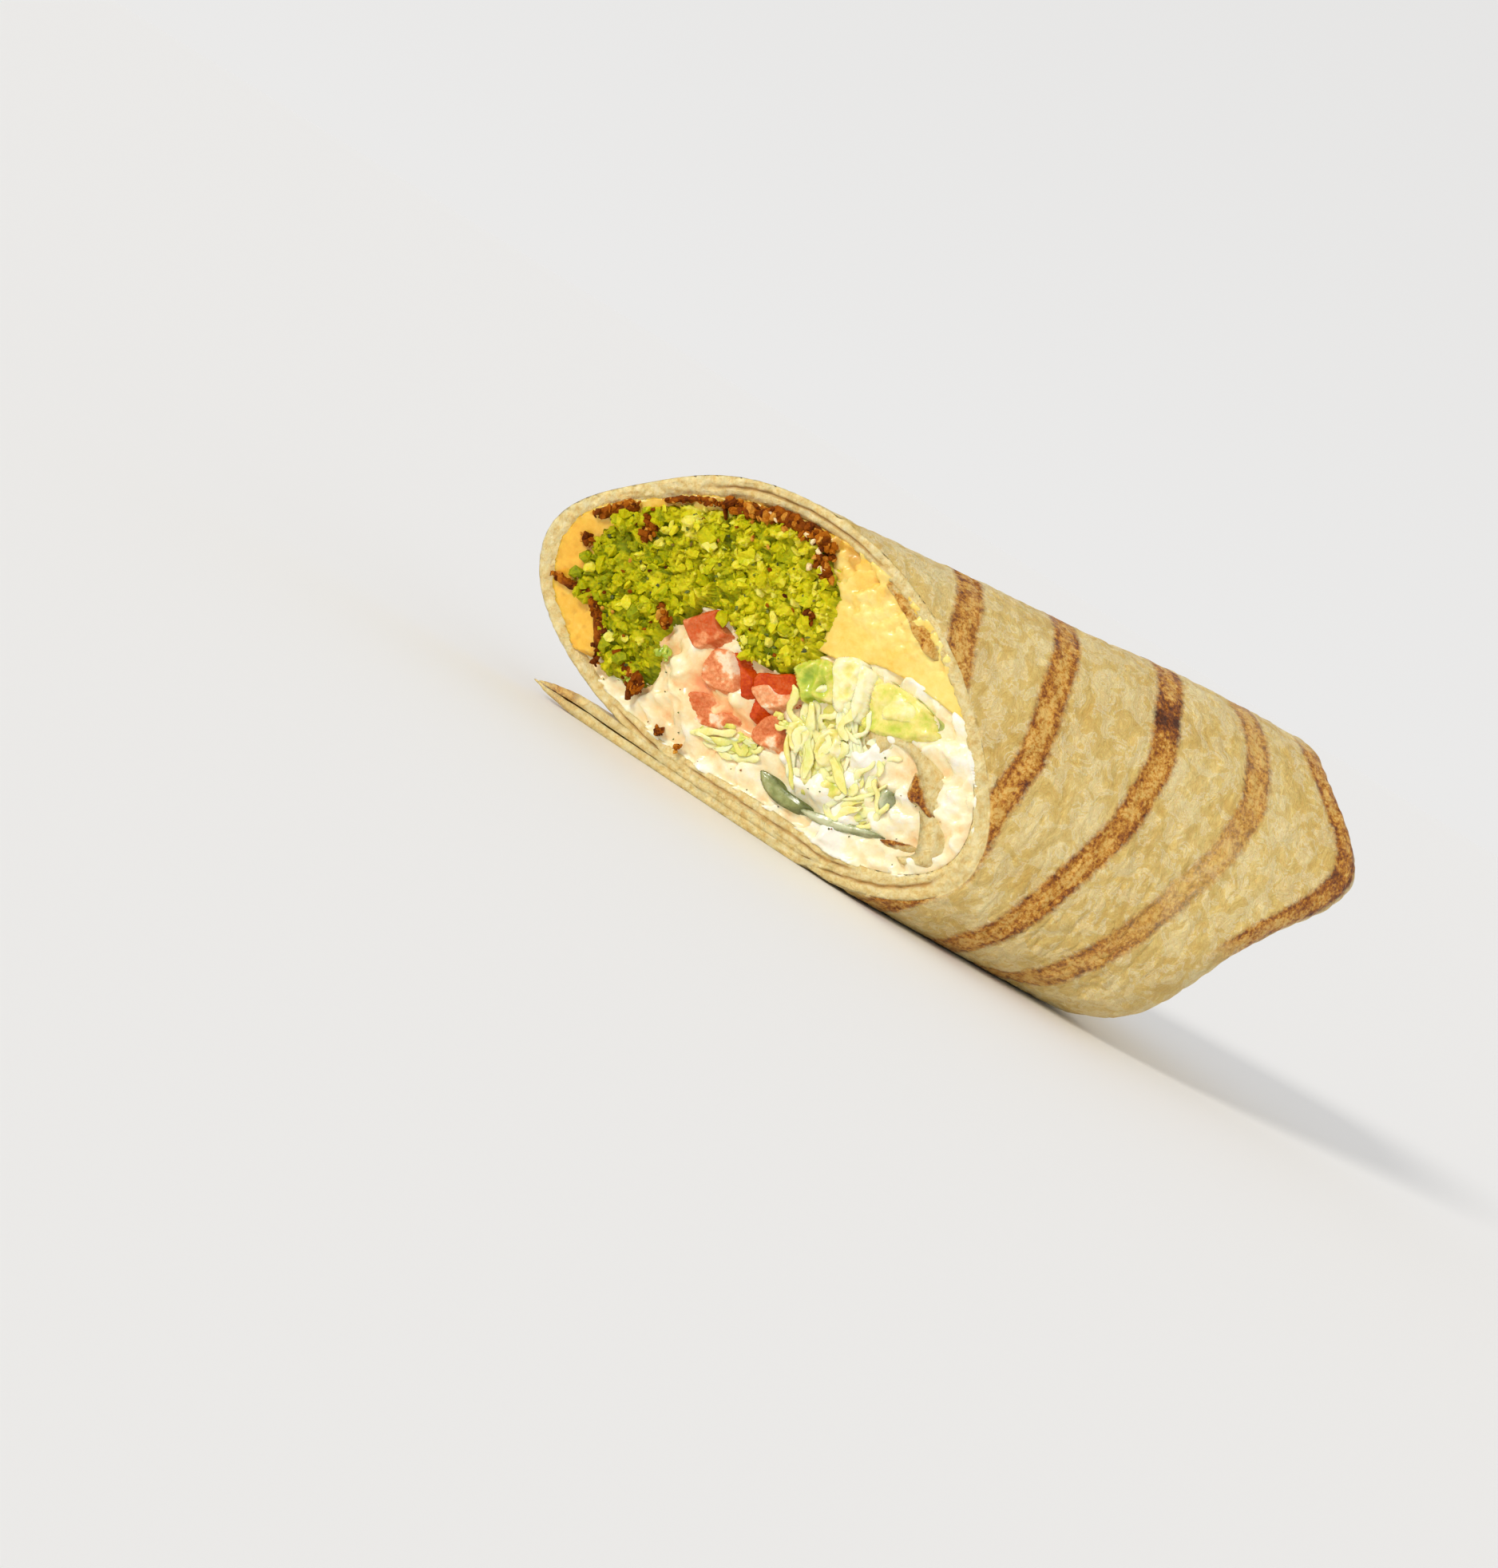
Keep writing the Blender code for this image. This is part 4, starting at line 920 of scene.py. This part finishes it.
def grain_piece(name, section, proud, sizes, rough, seed, material, nodes, slot, tones=None, broken=False, **extra):
    """Loose grains lying on the cut face: lumps whose middles stand proud mm out of it."""
    generator = np.random.default_rng(seed)
    centres = on_cut(section, proud)
    points, faces, tone = lumps(centres, sizes, rough, generator, tones=tones, **extra)
    return piece(name, points, faces, material, nodes, slot, broken, tone=tone, pit=0 * tone)


generator = np.random.default_rng(7)
spots = scattered_in(FALAFEL_OUTLINE, 620, generator, 0.3)
height, _ = relief_of_falafel(on_cut(spots), np.full(len(spots), 3.0))
breadth = 0.3 + 1.0 * generator.uniform(0.0, 1.0, (len(spots), 1)) ** 2.5 * np.ones(3)
breadth = breadth * generator.uniform(0.5, 1.4, (len(spots), 3))
tones = 0.40 + 0.32 * generator.uniform(0.0, 1.0, len(spots)) + 0.24 * generator.uniform(0.0, 1.0, len(spots)) ** 4 - 0.14 * smooth_step((spots[:, 0] - 10.0) / 8.0)
grain_piece("falafel_crumbs", spots, height + 0.12, breadth, 0.6, 8, FALAFEL, ["falafel"], "falafel", tones, broken=True, rings=3, around=6)

spots = np.vstack([scattered_in(FALAFEL_OUTLINE, 26, generator, 1.5), [(-3.4, 35.4), (-2.4, 34.6), (2.0, 33.0), (7.0, 40.0), (-1.0, 42.0), (-3.0, 40.0)]])
height, _ = relief_of_falafel(on_cut(spots), np.full(len(spots), 3.0))
grain_piece("chickpea_bits", spots, height + 0.25, generator.uniform(0.5, 1.4, (len(spots), 3)), 0.5, 15, FALAFEL, ["falafel"], "falafel",
            generator.uniform(0.74, 0.96, len(spots)), broken=True, rings=4, around=8)

parsley = np.random.default_rng(41)
spots = scattered_in(FALAFEL_OUTLINE, 70, parsley, 0.8)
height, _ = relief_of_falafel(on_cut(spots), np.full(len(spots), 3.0))
grain_piece("parsley_flecks", spots, height + 0.22, parsley.uniform(0.15, 0.55, (len(spots), 3)), 0.5, 16, FLECK, ["falafel"], "falafel",
            0.65 * parsley.uniform(0.0, 1.0, len(spots)), broken=True, rings=3, around=6)

# Where the fried crust shows along the falafel: points on the section and half width, in mm
CRUST_STROKES = [
    ([(22.8, 34.1), (22.0, 37.0), (19.8, 39.0), (18.6, 40.0)], 1.0),
    ([(14.9, 43.2), (12.7, 44.6), (10.1, 46.6), (7.3, 47.9)], 0.55),
    ([(7.3, 47.9), (4.6, 49.2), (1.9, 50.6), (-0.3, 51.8), (-2.7, 52.0), (-4.8, 52.0), (-6.4, 50.6)], 1.35),
    ([(-5.2, 49.4), (-6.4, 46.6)], 1.0),
    ([(16.0, 39.4), (15.9, 37.4), (16.4, 35.2)], 1.35),
    ([(24.0, 30.0), (23.2, 28.8)], 0.9),
    ([(28.2, 20.6), (26.1, 20.7), (24.2, 20.9), (22.2, 21.0), (21.2, 19.3), (20.4, 16.9), (20.3, 13.9), (20.2, 10.8)], 0.75),
    ([(17.6, 14.2), (16.0, 13.2), (14.6, 12.4), (15.6, 9.8)], 1.1),
    ([(13.0, 25.4), (12.2, 23.8)], 1.2),
    ([(-5.0, 39.8), (-5.3, 38.8)], 0.8),
    ([(11.2, 7.2), (10.8, 6.6)], 0.7),
    ([(8.5, 6.6), (8.2, 6.1)], 0.7),
]
strokes, widths, lines = [], [], []
for corners, half in CRUST_STROKES:
    line = smooth_loop(corners, 12, closed=False)
    at = np.linspace(0.0, len(line) - 1.0, 70)
    lines.append(to_face(inside_wall(np.stack([np.interp(at, np.arange(len(line)), line[:, k]) for k in (0, 1)], axis=1), -0.2 - half * 0.5)))
    length = np.linalg.norm(np.diff(to_face(line), axis=0), axis=1).sum()
    number = int(length * half * 5.0) + 8
    at = generator.uniform(0.0, len(line) - 1.0, number)
    place = np.stack([np.interp(at, np.arange(len(line)), line[:, k]) for k in (0, 1)], axis=1)
    face = to_face(place) + generator.normal(0.0, 0.5 * half, (number, 2))
    strokes.append(to_section(face))
    widths.append(np.full(number, half))
strokes, widths = inside_wall(np.concatenate(strokes), -0.3), np.concatenate(widths)
breadth = (0.3 + 0.55 * generator.uniform(0.0, 1.0, (len(strokes), 1)) ** 2) * widths[:, None] ** 0.7 * generator.uniform(0.6, 1.6, (len(strokes), 3)) * np.array([1.0, 1.0, 0.6])
tones = 0.1 + 0.8 * generator.uniform(0.0, 1.0, len(strokes)) ** 1.2
grain_piece("falafel_crust", strokes, generator.uniform(0.0, 0.9, len(strokes)) + 0.35, breadth, 0.6, 9, CRUST, ["falafel"], "falafel", tones, broken=True)

def crust_strips():
    """The unbroken crust beneath its crumbs: a tube of oval rings along each stroke, broken up by noise of 1.6 and 0.7 mm."""
    half = np.array([wide for _, wide in CRUST_STROKES])
    paths = np.array(lines)
    wide = 2.1 * half[:, None] * (1.0 + 0.3 * soft_noise(np.concatenate([paths, 0 * paths[..., :1]], axis=-1), 1.8, 95))
    points, faces, tone = ribbons(paths, np.full(paths.shape[:2], 0.35), wide, 1.5 + 0.5 * half, 0.0 * half, np.full(len(half), 0.34))
    points = points + 0.45 * np.stack([soft_noise(points, 1.6, 96 + k) + 0.6 * soft_noise(points, 0.7, 86 + k) for k in range(3)], axis=-1)
    tone = tone + 0.3 * soft_noise(points, 1.0, 99)
    piece("falafel_crust_strip", points, faces, CRUST, ["falafel"], "falafel", broken=True, tone=tone, pit=smooth_step(-soft_noise(points, 1.4, 98)))


stray = scattered_in(FALAFEL_OUTLINE, 34, generator, 1.0)
grain_piece("crust_crumbs", stray, generator.uniform(0.6, 1.3, len(stray)), generator.uniform(0.2, 0.6, (len(stray), 3)), 0.5, 10, CRUST, ["falafel"], "falafel", broken=True)

chips = np.array([(2.6, 50.3), (1.6, 50.9), (0.8, 51.0), (-3.4, 51.6), (-4.2, 51.0), (-5.0, 50.2), (-5.6, 47.6), (-4.2, 47.0)])
grain_piece("pale_crumbs", chips, np.full(len(chips), 1.2), generator.uniform(0.35, 1.0, (len(chips), 3)), 0.5, 14, SAUCE, ["falafel"], "sauce", np.full(len(chips), 0.48), broken=True)


TOMATO_PIECES = {
    # outline on the section (mm), tone: low is skin and high is pale flesh, lift (mm), share of sauce smeared on it
    "tomato_1": ([(10.5, 26.1), (9.1, 28.3), (7.5, 30.4), (6.1, 31.7), (5.7, 29.5), (4.3, 28.3), (6.1, 25.4), (8.0, 22.9), (9.3, 23.7)], 0.30, 0.7, 0.34),
    "tomato_2": ([(7.1, 22.3), (6.1, 25.2), (4.9, 26.1), (3.7, 26.5), (2.8, 23.8), (2.2, 20.4), (4.0, 18.9), (5.8, 18.4), (7.2, 18.6), (7.4, 20.3)], 0.52, 0.5, 0.45),
    "tomato_3": ([(3.8, 26.5), (2.5, 26.8), (1.7, 25.5), (0.3, 24.3), (0.6, 20.9), (2.0, 19.9), (2.6, 23.4)], 0.06, 0.3, 0.08),
    "tomato_4": ([(0.8, 22.7), (0.4, 25.9), (-1.9, 27.5), (-4.2, 29.2), (-5.0, 27.0), (-4.2, 23.4), (-1.5, 20.5), (-0.7, 17.9), (0.6, 17.8), (0.4, 21.3)], 0.08, 0.4, 0.08),
    "tomato_4_flesh": ([(0.8, 22.7), (-1.3, 25.2), (-2.8, 24.8), (-4.9, 26.4), (-4.1, 23.2), (-1.5, 20.5), (-0.3, 20.8)], 0.66, 1.0, 0.30),
    "tomato_5": ([(8.5, 15.7), (6.4, 17.4), (5.1, 15.3), (3.5, 16.7), (2.4, 16.2), (3.3, 13.1), (5.6, 11.6), (7.0, 11.4), (8.3, 12.7)], 0.44, 0.3, 0.50),
    "tomato_6": ([(-0.2, 16.6), (-1.6, 20.1), (-3.5, 21.4), (-4.3, 18.2), (-3.8, 15.7), (-1.5, 14.2), (-0.2, 14.6)], 0.46, 0.6, 0.45),
}


def relief_of_tomato(tone, lift, sauced):
    """Tomato cut by the knife: flat, wet and grainy, smeared pale with sauce, rounded at its border."""
    def relief(ground, depth):
        near, _, number, _ = grains(ground, 0.7, 201)
        height = lift + 0.30 * soft_noise(ground, 2.6, 202) + 0.12 * soft_noise(ground, 1.1, 203)
        height = height + 0.12 * (1.0 - (near / 0.4) ** 2) - 1.3 * (1.0 - smooth_step(depth / 0.8))
        smear = smooth_step((soft_noise(ground, 2.4, 204) + 0.6 * soft_noise(ground, 0.8, 205) + 0.05) / 0.7)
        value = tone + sauced * smear + 0.12 * (number - 0.5) * (tone > 0.3) + 0.07 * soft_noise(ground, 1.2, 206)
        value = value + 0.30 * sauced * (1.0 - smooth_step(depth / 0.6))
        return height, {"tone": value, "pit": 0.25 * smooth_step((soft_noise(ground, 1.4, 207) - 0.2) / 0.6)}
    return relief


for name, (outline, *facts) in TOMATO_PIECES.items():
    filling(name + "_cut", outline, relief_of_tomato(*facts), 0.22, TOMATO, [name[:8]], "tomato", back_step=5.0)


PICKLE_OUTLINES = {
    # outline on the section (mm), tone, and depth into the roll (mm)
    "pickle_1": ([(-2.1, 10.8), (-3.4, 11.3), (-5.3, 10.4), (-7.9, 10.1), (-7.6, 8.6), (-5.7, 7.5), (-3.8, 7.7), (-2.6, 8.8)], 0.52, 22.0),
    "pickle_2": ([(-7.6, 8.9), (-9.3, 8.4), (-11.6, 8.9), (-15.0, 10.9), (-17.6, 12.8), (-15.6, 12.4), (-13.2, 11.4), (-10.1, 10.3)], 0.86, 26.0),
    "pickle_3": ([(-17.5, 17.2), (-17.7, 18.8), (-18.0, 20.6), (-17.0, 20.2), (-16.6, 18.2), (-16.9, 17.0)], 0.90, 9.0),
}


def relief_of_pickle(tone):
    """The relief of a gherkin slice: a wet, gently domed cut whose skin side is darker."""
    def relief(ground, depth):
        height = 0.15 + 0.5 * smooth_step(depth / 0.9) + 0.16 * soft_noise(ground, 1.6, 171)
        value = tone + 0.2 * smooth_step(depth / 1.0) - 0.1 + 0.16 * soft_noise(ground, 1.8, 172)
        return height, {"tone": value, "pit": 0.5 * (1.0 - smooth_step(depth / 0.45))}
    return relief


for name, (outline, tone, deep) in PICKLE_OUTLINES.items():
    filling(name + "_slice", outline, relief_of_pickle(tone), 0.22, PICKLE, [name], "pickle", back_step=deep)


def ribbons(paths, lifts, widths, thick, arch, tones):
    """Points, faces, tones of many leaf shreds joined in one mesh.

    Each follows its path in face coordinates; its ring of 8 points is
    side * half width * cos + OUT * (half thickness * sin + arch * cos^2), narrowed at both ends.
    """
    count, length = paths.shape[:2]
    middle = on_cut(to_section(paths), lifts)
    along = np.gradient(middle, axis=1)
    along /= np.linalg.norm(along, axis=-1, keepdims=True)
    side = np.cross(along, OUT)
    side /= np.linalg.norm(side, axis=-1, keepdims=True)
    theta = np.arange(8) * TAU / 8
    share = np.linspace(0.0, 1.0, length)
    taper = np.sqrt(np.clip(1.0 - (2.0 * share - 1.0) ** 6, 0.12, 1.0))
    half = 0.5 * widths * taper
    rings = middle[:, :, None] + side[:, :, None] * (half[..., None] * np.cos(theta))[..., None]
    rise = 0.5 * thick[:, None, None] * np.sin(theta) * taper[:, None] + arch[:, None, None] * np.cos(theta) ** 2
    rings = rings + rise[..., None] * OUT
    ends = rings[:, [0, -1]].mean(axis=2)
    each = length * 8 + 2
    points = np.concatenate([rings.reshape(count, -1, 3), ends], axis=1)
    quads = strip_quads(length, 8, True)
    index = np.arange(8)
    after = (index + 1) % 8
    base = (length - 1) * 8
    first = np.stack([after, index, np.full(8, each - 2)], axis=-1)
    last = np.stack([base + index, base + after, np.full(8, each - 1)], axis=-1)
    offset = (np.arange(count) * each)[:, None, None]
    faces = (quads[None] + offset).reshape(-1, 4).tolist()
    faces += (first[None] + offset).reshape(-1, 3).tolist() + (last[None] + offset).reshape(-1, 3).tolist()
    return points.reshape(-1, 3), faces, np.repeat(tones, each)


SHRED_BEDS = [
    # middle (y, z), spread (mm), count, length, width, direction and its spread (degrees), tones, lift, thickness
    ((-8.4, 20.0), (3.0, 4.2), 30, (7.0, 13.0), (0.9, 2.0), (80, 50), (0.50, 0.98), (-0.5, 0.8), 0.5),
    ((-12.0, 25.0), (3.2, 3.0), 12, (6.0, 11.0), (0.9, 2.0), (70, 36), (0.66, 0.99), (-0.5, 0.5), 0.5),
    ((-13.8, 15.4), (3.8, 2.8), 20, (6.0, 11.0), (0.9, 2.0), (140, 40), (0.68, 0.99), (-0.9, 0.15), 0.5),
    ((-14.6, 20.6), (2.2, 3.2), 12, (5.0, 10.0), (0.9, 2.0), (110, 36), (0.68, 0.99), (-0.9, 0.3), 0.5),
    ((1.6, 12.2), (3.6, 0.9), 14, (5.0, 10.0), (0.8, 1.5), (155, 16), (0.34, 0.85), (-0.5, 0.3), 0.4),
    ((15.2, 12.6), (1.2, 1.2), 6, (1.6, 3.0), (1.0, 1.8), (60, 60), (0.06, 0.30), (0.3, 0.9), 0.45),
    ((11.8, 18.8), (0.8, 1.0), 4, (1.6, 3.0), (0.8, 1.4), (60, 60), (0.08, 0.30), (0.3, 0.9), 0.45),
    ((-3.6, 20.6), (1.0, 0.8), 4, (2.0, 4.0), (0.8, 1.4), (160, 30), (0.40, 0.70), (0.2, 0.8), 0.40),
]


LEAF_PIECES = {
    # outline on the section (mm), tone, lift (mm), size of its folds (mm), their depth (mm)
    "lettuce_leaf_pale": ([(-14.0, 35.0), (-15.9, 37.0), (-18.3, 37.0), (-20.2, 36.4), (-21.4, 34.8), (-21.8, 32.9), (-18.9, 29.8), (-16.3, 28.4),
                           (-13.2, 27.6), (-13.6, 30.8)], 0.36, 0.45, 3.6, 0.7),
    "lettuce_leaf_fold": ([(-16.6, 36.4), (-19.4, 36.0), (-20.6, 34.2), (-18.2, 32.0), (-15.8, 31.0), (-15.2, 33.0)], 0.50, 0.9, 3.0, 0.5),
    "lettuce_leaf_bright": ([(-4.2, 30.0), (-6.0, 32.8), (-8.2, 34.4), (-9.1, 31.4), (-8.6, 28.4), (-5.8, 25.8), (-4.9, 28.0)], 0.10, 0.7, 2.0, 0.9),
    "lettuce_leaf_shine": ([(-6.8, 27.4), (-8.2, 28.8), (-8.5, 30.6), (-7.6, 30.0), (-6.8, 28.8)], 0.60, 1.0, 1.4, 0.3),
    "lettuce_rib_first": ([(-8.6, 34.6), (-9.9, 36.6), (-11.9, 37.6), (-12.3, 36.4), (-12.0, 32.3), (-11.2, 28.1), (-9.5, 27.8), (-8.9, 31.0)], 0.70, 0.7, 1.6, 0.35),
    "lettuce_rib_second": ([(-11.8, 36.6), (-13.0, 36.8), (-13.4, 34.0), (-13.2, 30.2), (-12.4, 27.6), (-11.6, 29.0), (-11.7, 33.0)], 0.82, 0.9, 1.8, 0.25),
    "lettuce_cut_stalk": ([(-4.2, 20.4), (-6.1, 23.1), (-7.9, 21.9), (-6.8, 17.7), (-5.1, 17.0)], 0.50, 0.5, 1.5, 0.4),
    "lettuce_curled": ([(-7.9, 21.7), (-10.3, 24.7), (-11.3, 21.9), (-10.0, 18.0), (-8.5, 17.5)], 0.56, 0.6, 1.7, 0.6),
    "lettuce_low_leaf": ([(-9.1, 15.4), (-11.8, 16.9), (-12.5, 15.4), (-10.7, 13.2), (-9.6, 13.9)], 0.44, 0.6, 2.0, 0.4),
}


def relief_of_leaf(tone, lift, fold, deep):
    """A wet leaf: smooth folds |noise| that run across it, fine veins, a thin rounded border, with painted light on the
    folds' ridges and painted shade in their valleys.
    """
    def relief(ground, depth):
        bent = 1.0 - np.abs(soft_noise(ground * np.array([1.0, 1.0, 0.6]), fold, 191)) * 2.0
        height = lift + deep * bent - 0.8 * (1.0 - smooth_step(depth / 0.9)) + 0.08 * soft_noise(ground, 0.9, 192)
        veins = (1.0 - np.abs(soft_noise(ground * np.array([1.0, 0.6, 1.0]), 1.7, 195))) ** 5
        height = height + 0.22 * veins
        # Tone follows the folds: painted light on their ridges, painted shade and the pit mark in their valleys
        value = tone + 0.14 * bent + 0.16 * soft_noise(ground, 2.2, 193) + 0.08 * soft_noise(ground, 0.7, 194) + 0.15 * veins + 0.15 * (1.0 - smooth_step(depth / 0.6))
        return height, {"tone": value, "pit": 0.5 * smooth_step((-bent - 0.2) / 0.6)}
    return relief


for name, (outline, *facts) in LEAF_PIECES.items():
    filling(name, outline, relief_of_leaf(*facts), 0.3, LETTUCE, ["lettuce"], "lettuce", back_step=4.0)


def lettuce_shreds():
    """Shreds laid over the beds: each path turns by a smooth random curvature along its length."""
    generator = np.random.default_rng(31)
    every = []
    for middle, spread, number, lengths, breadths, (heading, swing), tones, lift, thick in SHRED_BEDS:
        start = to_face(np.array(middle) + generator.normal(0.0, 1.0, (number, 2)) * 0.6 * np.array(spread))
        heading = np.radians(heading + generator.normal(0.0, 0.5 * swing, number))
        steps = np.linspace(-0.5, 0.5, 12)
        bend = generator.normal(0.0, 0.9, (number, 1)) * steps + generator.normal(0.0, 0.5, (number, 1)) * np.sin(steps * 9.0 + generator.uniform(0, TAU, (number, 1)))
        long = generator.uniform(*lengths, (number, 1))
        step = long / 11.0
        # headings are on the section: 0 along +y, 90 up
        direction = np.stack([np.cos(heading[:, None] + bend), np.sin(heading[:, None] + bend)], axis=-1)
        face = direction @ np.stack([ALONG, ACROSS], axis=1)
        path = start[:, None] + np.cumsum(face * step[..., None], axis=1) - (face * step[..., None]).sum(axis=1, keepdims=True) * 0.5
        section = inside_wall(to_section(path), -0.6)
        section[..., 0] = np.maximum(section[..., 0], -21.0)
        path = to_face(section)
        wide = generator.uniform(*breadths, (number, 1)) * (1.0 + 0.25 * np.sin(steps * 11.0 + generator.uniform(0, TAU, (number, 1))))
        rise = generator.uniform(*lift, (number, 1)) + 0.28 * np.sin(steps * generator.uniform(3.0, 8.0, (number, 1)) + generator.uniform(0, TAU, (number, 1)))
        every.append((path, rise, wide, np.full(number, thick), generator.uniform(-0.25, 0.30, number) * breadths[1] * 0.5, generator.uniform(*tones, number)))
    joined = [np.concatenate([bed[k] for bed in every]) for k in range(6)]
    points, faces, tone = ribbons(*joined)
    tone = tone + 0.12 * soft_noise(points, 2.0, 181)
    piece("lettuce_shreds", points, faces, LETTUCE, ["lettuce"], "lettuce", tone=tone, pit=0 * tone)


lettuce_shreds()
crust_strips()

spots = scattered_in(CAVITY_OUTLINE[::3], 120, generator, 0.6)
spots = spots[(spots[:, 1] < 27.0) | (generator.uniform(0, 1, len(spots)) < 0.25)]
grain_piece("herb_and_pepper_flecks", spots, sauce_height(on_cut(spots)) + generator.uniform(-0.05, 0.25, len(spots)), generator.uniform(0.08, 0.24, (len(spots), 3)), 0.4, 11, FLECK, ["cream_sauce"], "sauce")


# Stage, light and camera ------------------------------------------------------------------------

def backdrop():
    """A flat, pale floor: a disc of rings 12 m across."""
    radius = np.array([0.1, 0.3, 1.0, 3.0, 6.0, 12.0])
    angle = np.arange(96) * TAU / 96
    rings = np.stack([radius[:, None] * np.cos(angle), radius[:, None] * np.sin(angle), 0.0 * radius[:, None] + 0 * angle], axis=-1)
    points = np.vstack([rings.reshape(-1, 3), [[0.0, 0.0, 0.0]]]) + np.array([0.0, 0.0, LOW.z - 0.00002])
    index = np.arange(96)
    faces = strip_quads(len(radius), 96, True)[:, ::-1].tolist()
    faces += np.stack([index, (index + 1) % 96, np.full(96, len(points) - 1)], axis=-1).tolist()
    mesh = bpy.data.meshes.new("floor")
    mesh.from_pydata(points.tolist(), [], faces)
    material, tree, shader = new_material("matt white paper", 0.9)
    shader.inputs["Base Color"].default_value = linear("F5F5F5")
    mesh.materials.append(material)
    floor = bpy.data.objects.new("floor", mesh)
    bpy.context.collection.objects.link(floor)


backdrop()

RIGHT = np.array([0.804663, -0.279379, 0.523894])
UP = np.array([-0.452745, 0.282121, 0.845831])
BACK = np.array([-0.384109, -0.917799, 0.100525])
EYE = np.array([-0.26717, -0.57514, 0.07030])


def studio_world():
    """An even white studio: bright towards the horizon, half as bright overhead."""
    world = bpy.data.worlds.new("soft studio")
    world.use_nodes = True
    tree = world.node_tree
    height = add(tree, "ShaderNodeSeparateXYZ", {0: (add(tree, "ShaderNodeTexCoord"), "Generated")})
    glow = add(tree, "ShaderNodeMapRange", {"Value": (height, "Z"), "From Min": 0.0, "From Max": 0.9, "To Min": 0.829, "To Max": 0.66})
    tree.links.new(glow.outputs[0], tree.nodes["Background"].inputs["Strength"])
    tree.nodes["Background"].inputs["Color"].default_value = (1.0, 0.993, 0.984, 1.0)
    return world


def sun(name, away, strength, spread, colour):
    """A broad, soft light from the direction away, spread over that many degrees."""
    light = bpy.data.lights.new(name, "SUN")
    light.energy, light.angle, light.color = strength, math.radians(spread), linear(colour)[:3]
    obj = bpy.data.objects.new(name, light)
    away = away / np.linalg.norm(away)
    side = np.cross([0.0, 0.0, 1.0], away)
    side /= np.linalg.norm(side)
    turn = np.stack([side, np.cross(away, side), away], axis=1)
    obj.matrix_world = Matrix([[*turn[row], 0.0] for row in range(3)] + [[0.0, 0.0, 0.0, 1.0]])
    bpy.context.collection.objects.link(obj)


sun("key", BACK * 0.9 + UP * 0.68 - RIGHT * 0.35, 1.58, 12.0, "FFFBF4")
scene = bpy.context.scene
scene.world = studio_world()
scene.view_settings.view_transform = "Standard"

camera_data = bpy.data.cameras.new("camera")
camera_data.lens, camera_data.sensor_width, camera_data.clip_end = 80.0, 36.0, 20.0
camera = bpy.data.objects.new("camera", camera_data)
pose = Matrix.Identity(4)
for row in range(3):
    pose[row][0], pose[row][1], pose[row][2], pose[row][3] = RIGHT[row], UP[row], BACK[row], EYE[row]
camera.matrix_world = pose
bpy.context.collection.objects.link(camera)
scene.camera = camera
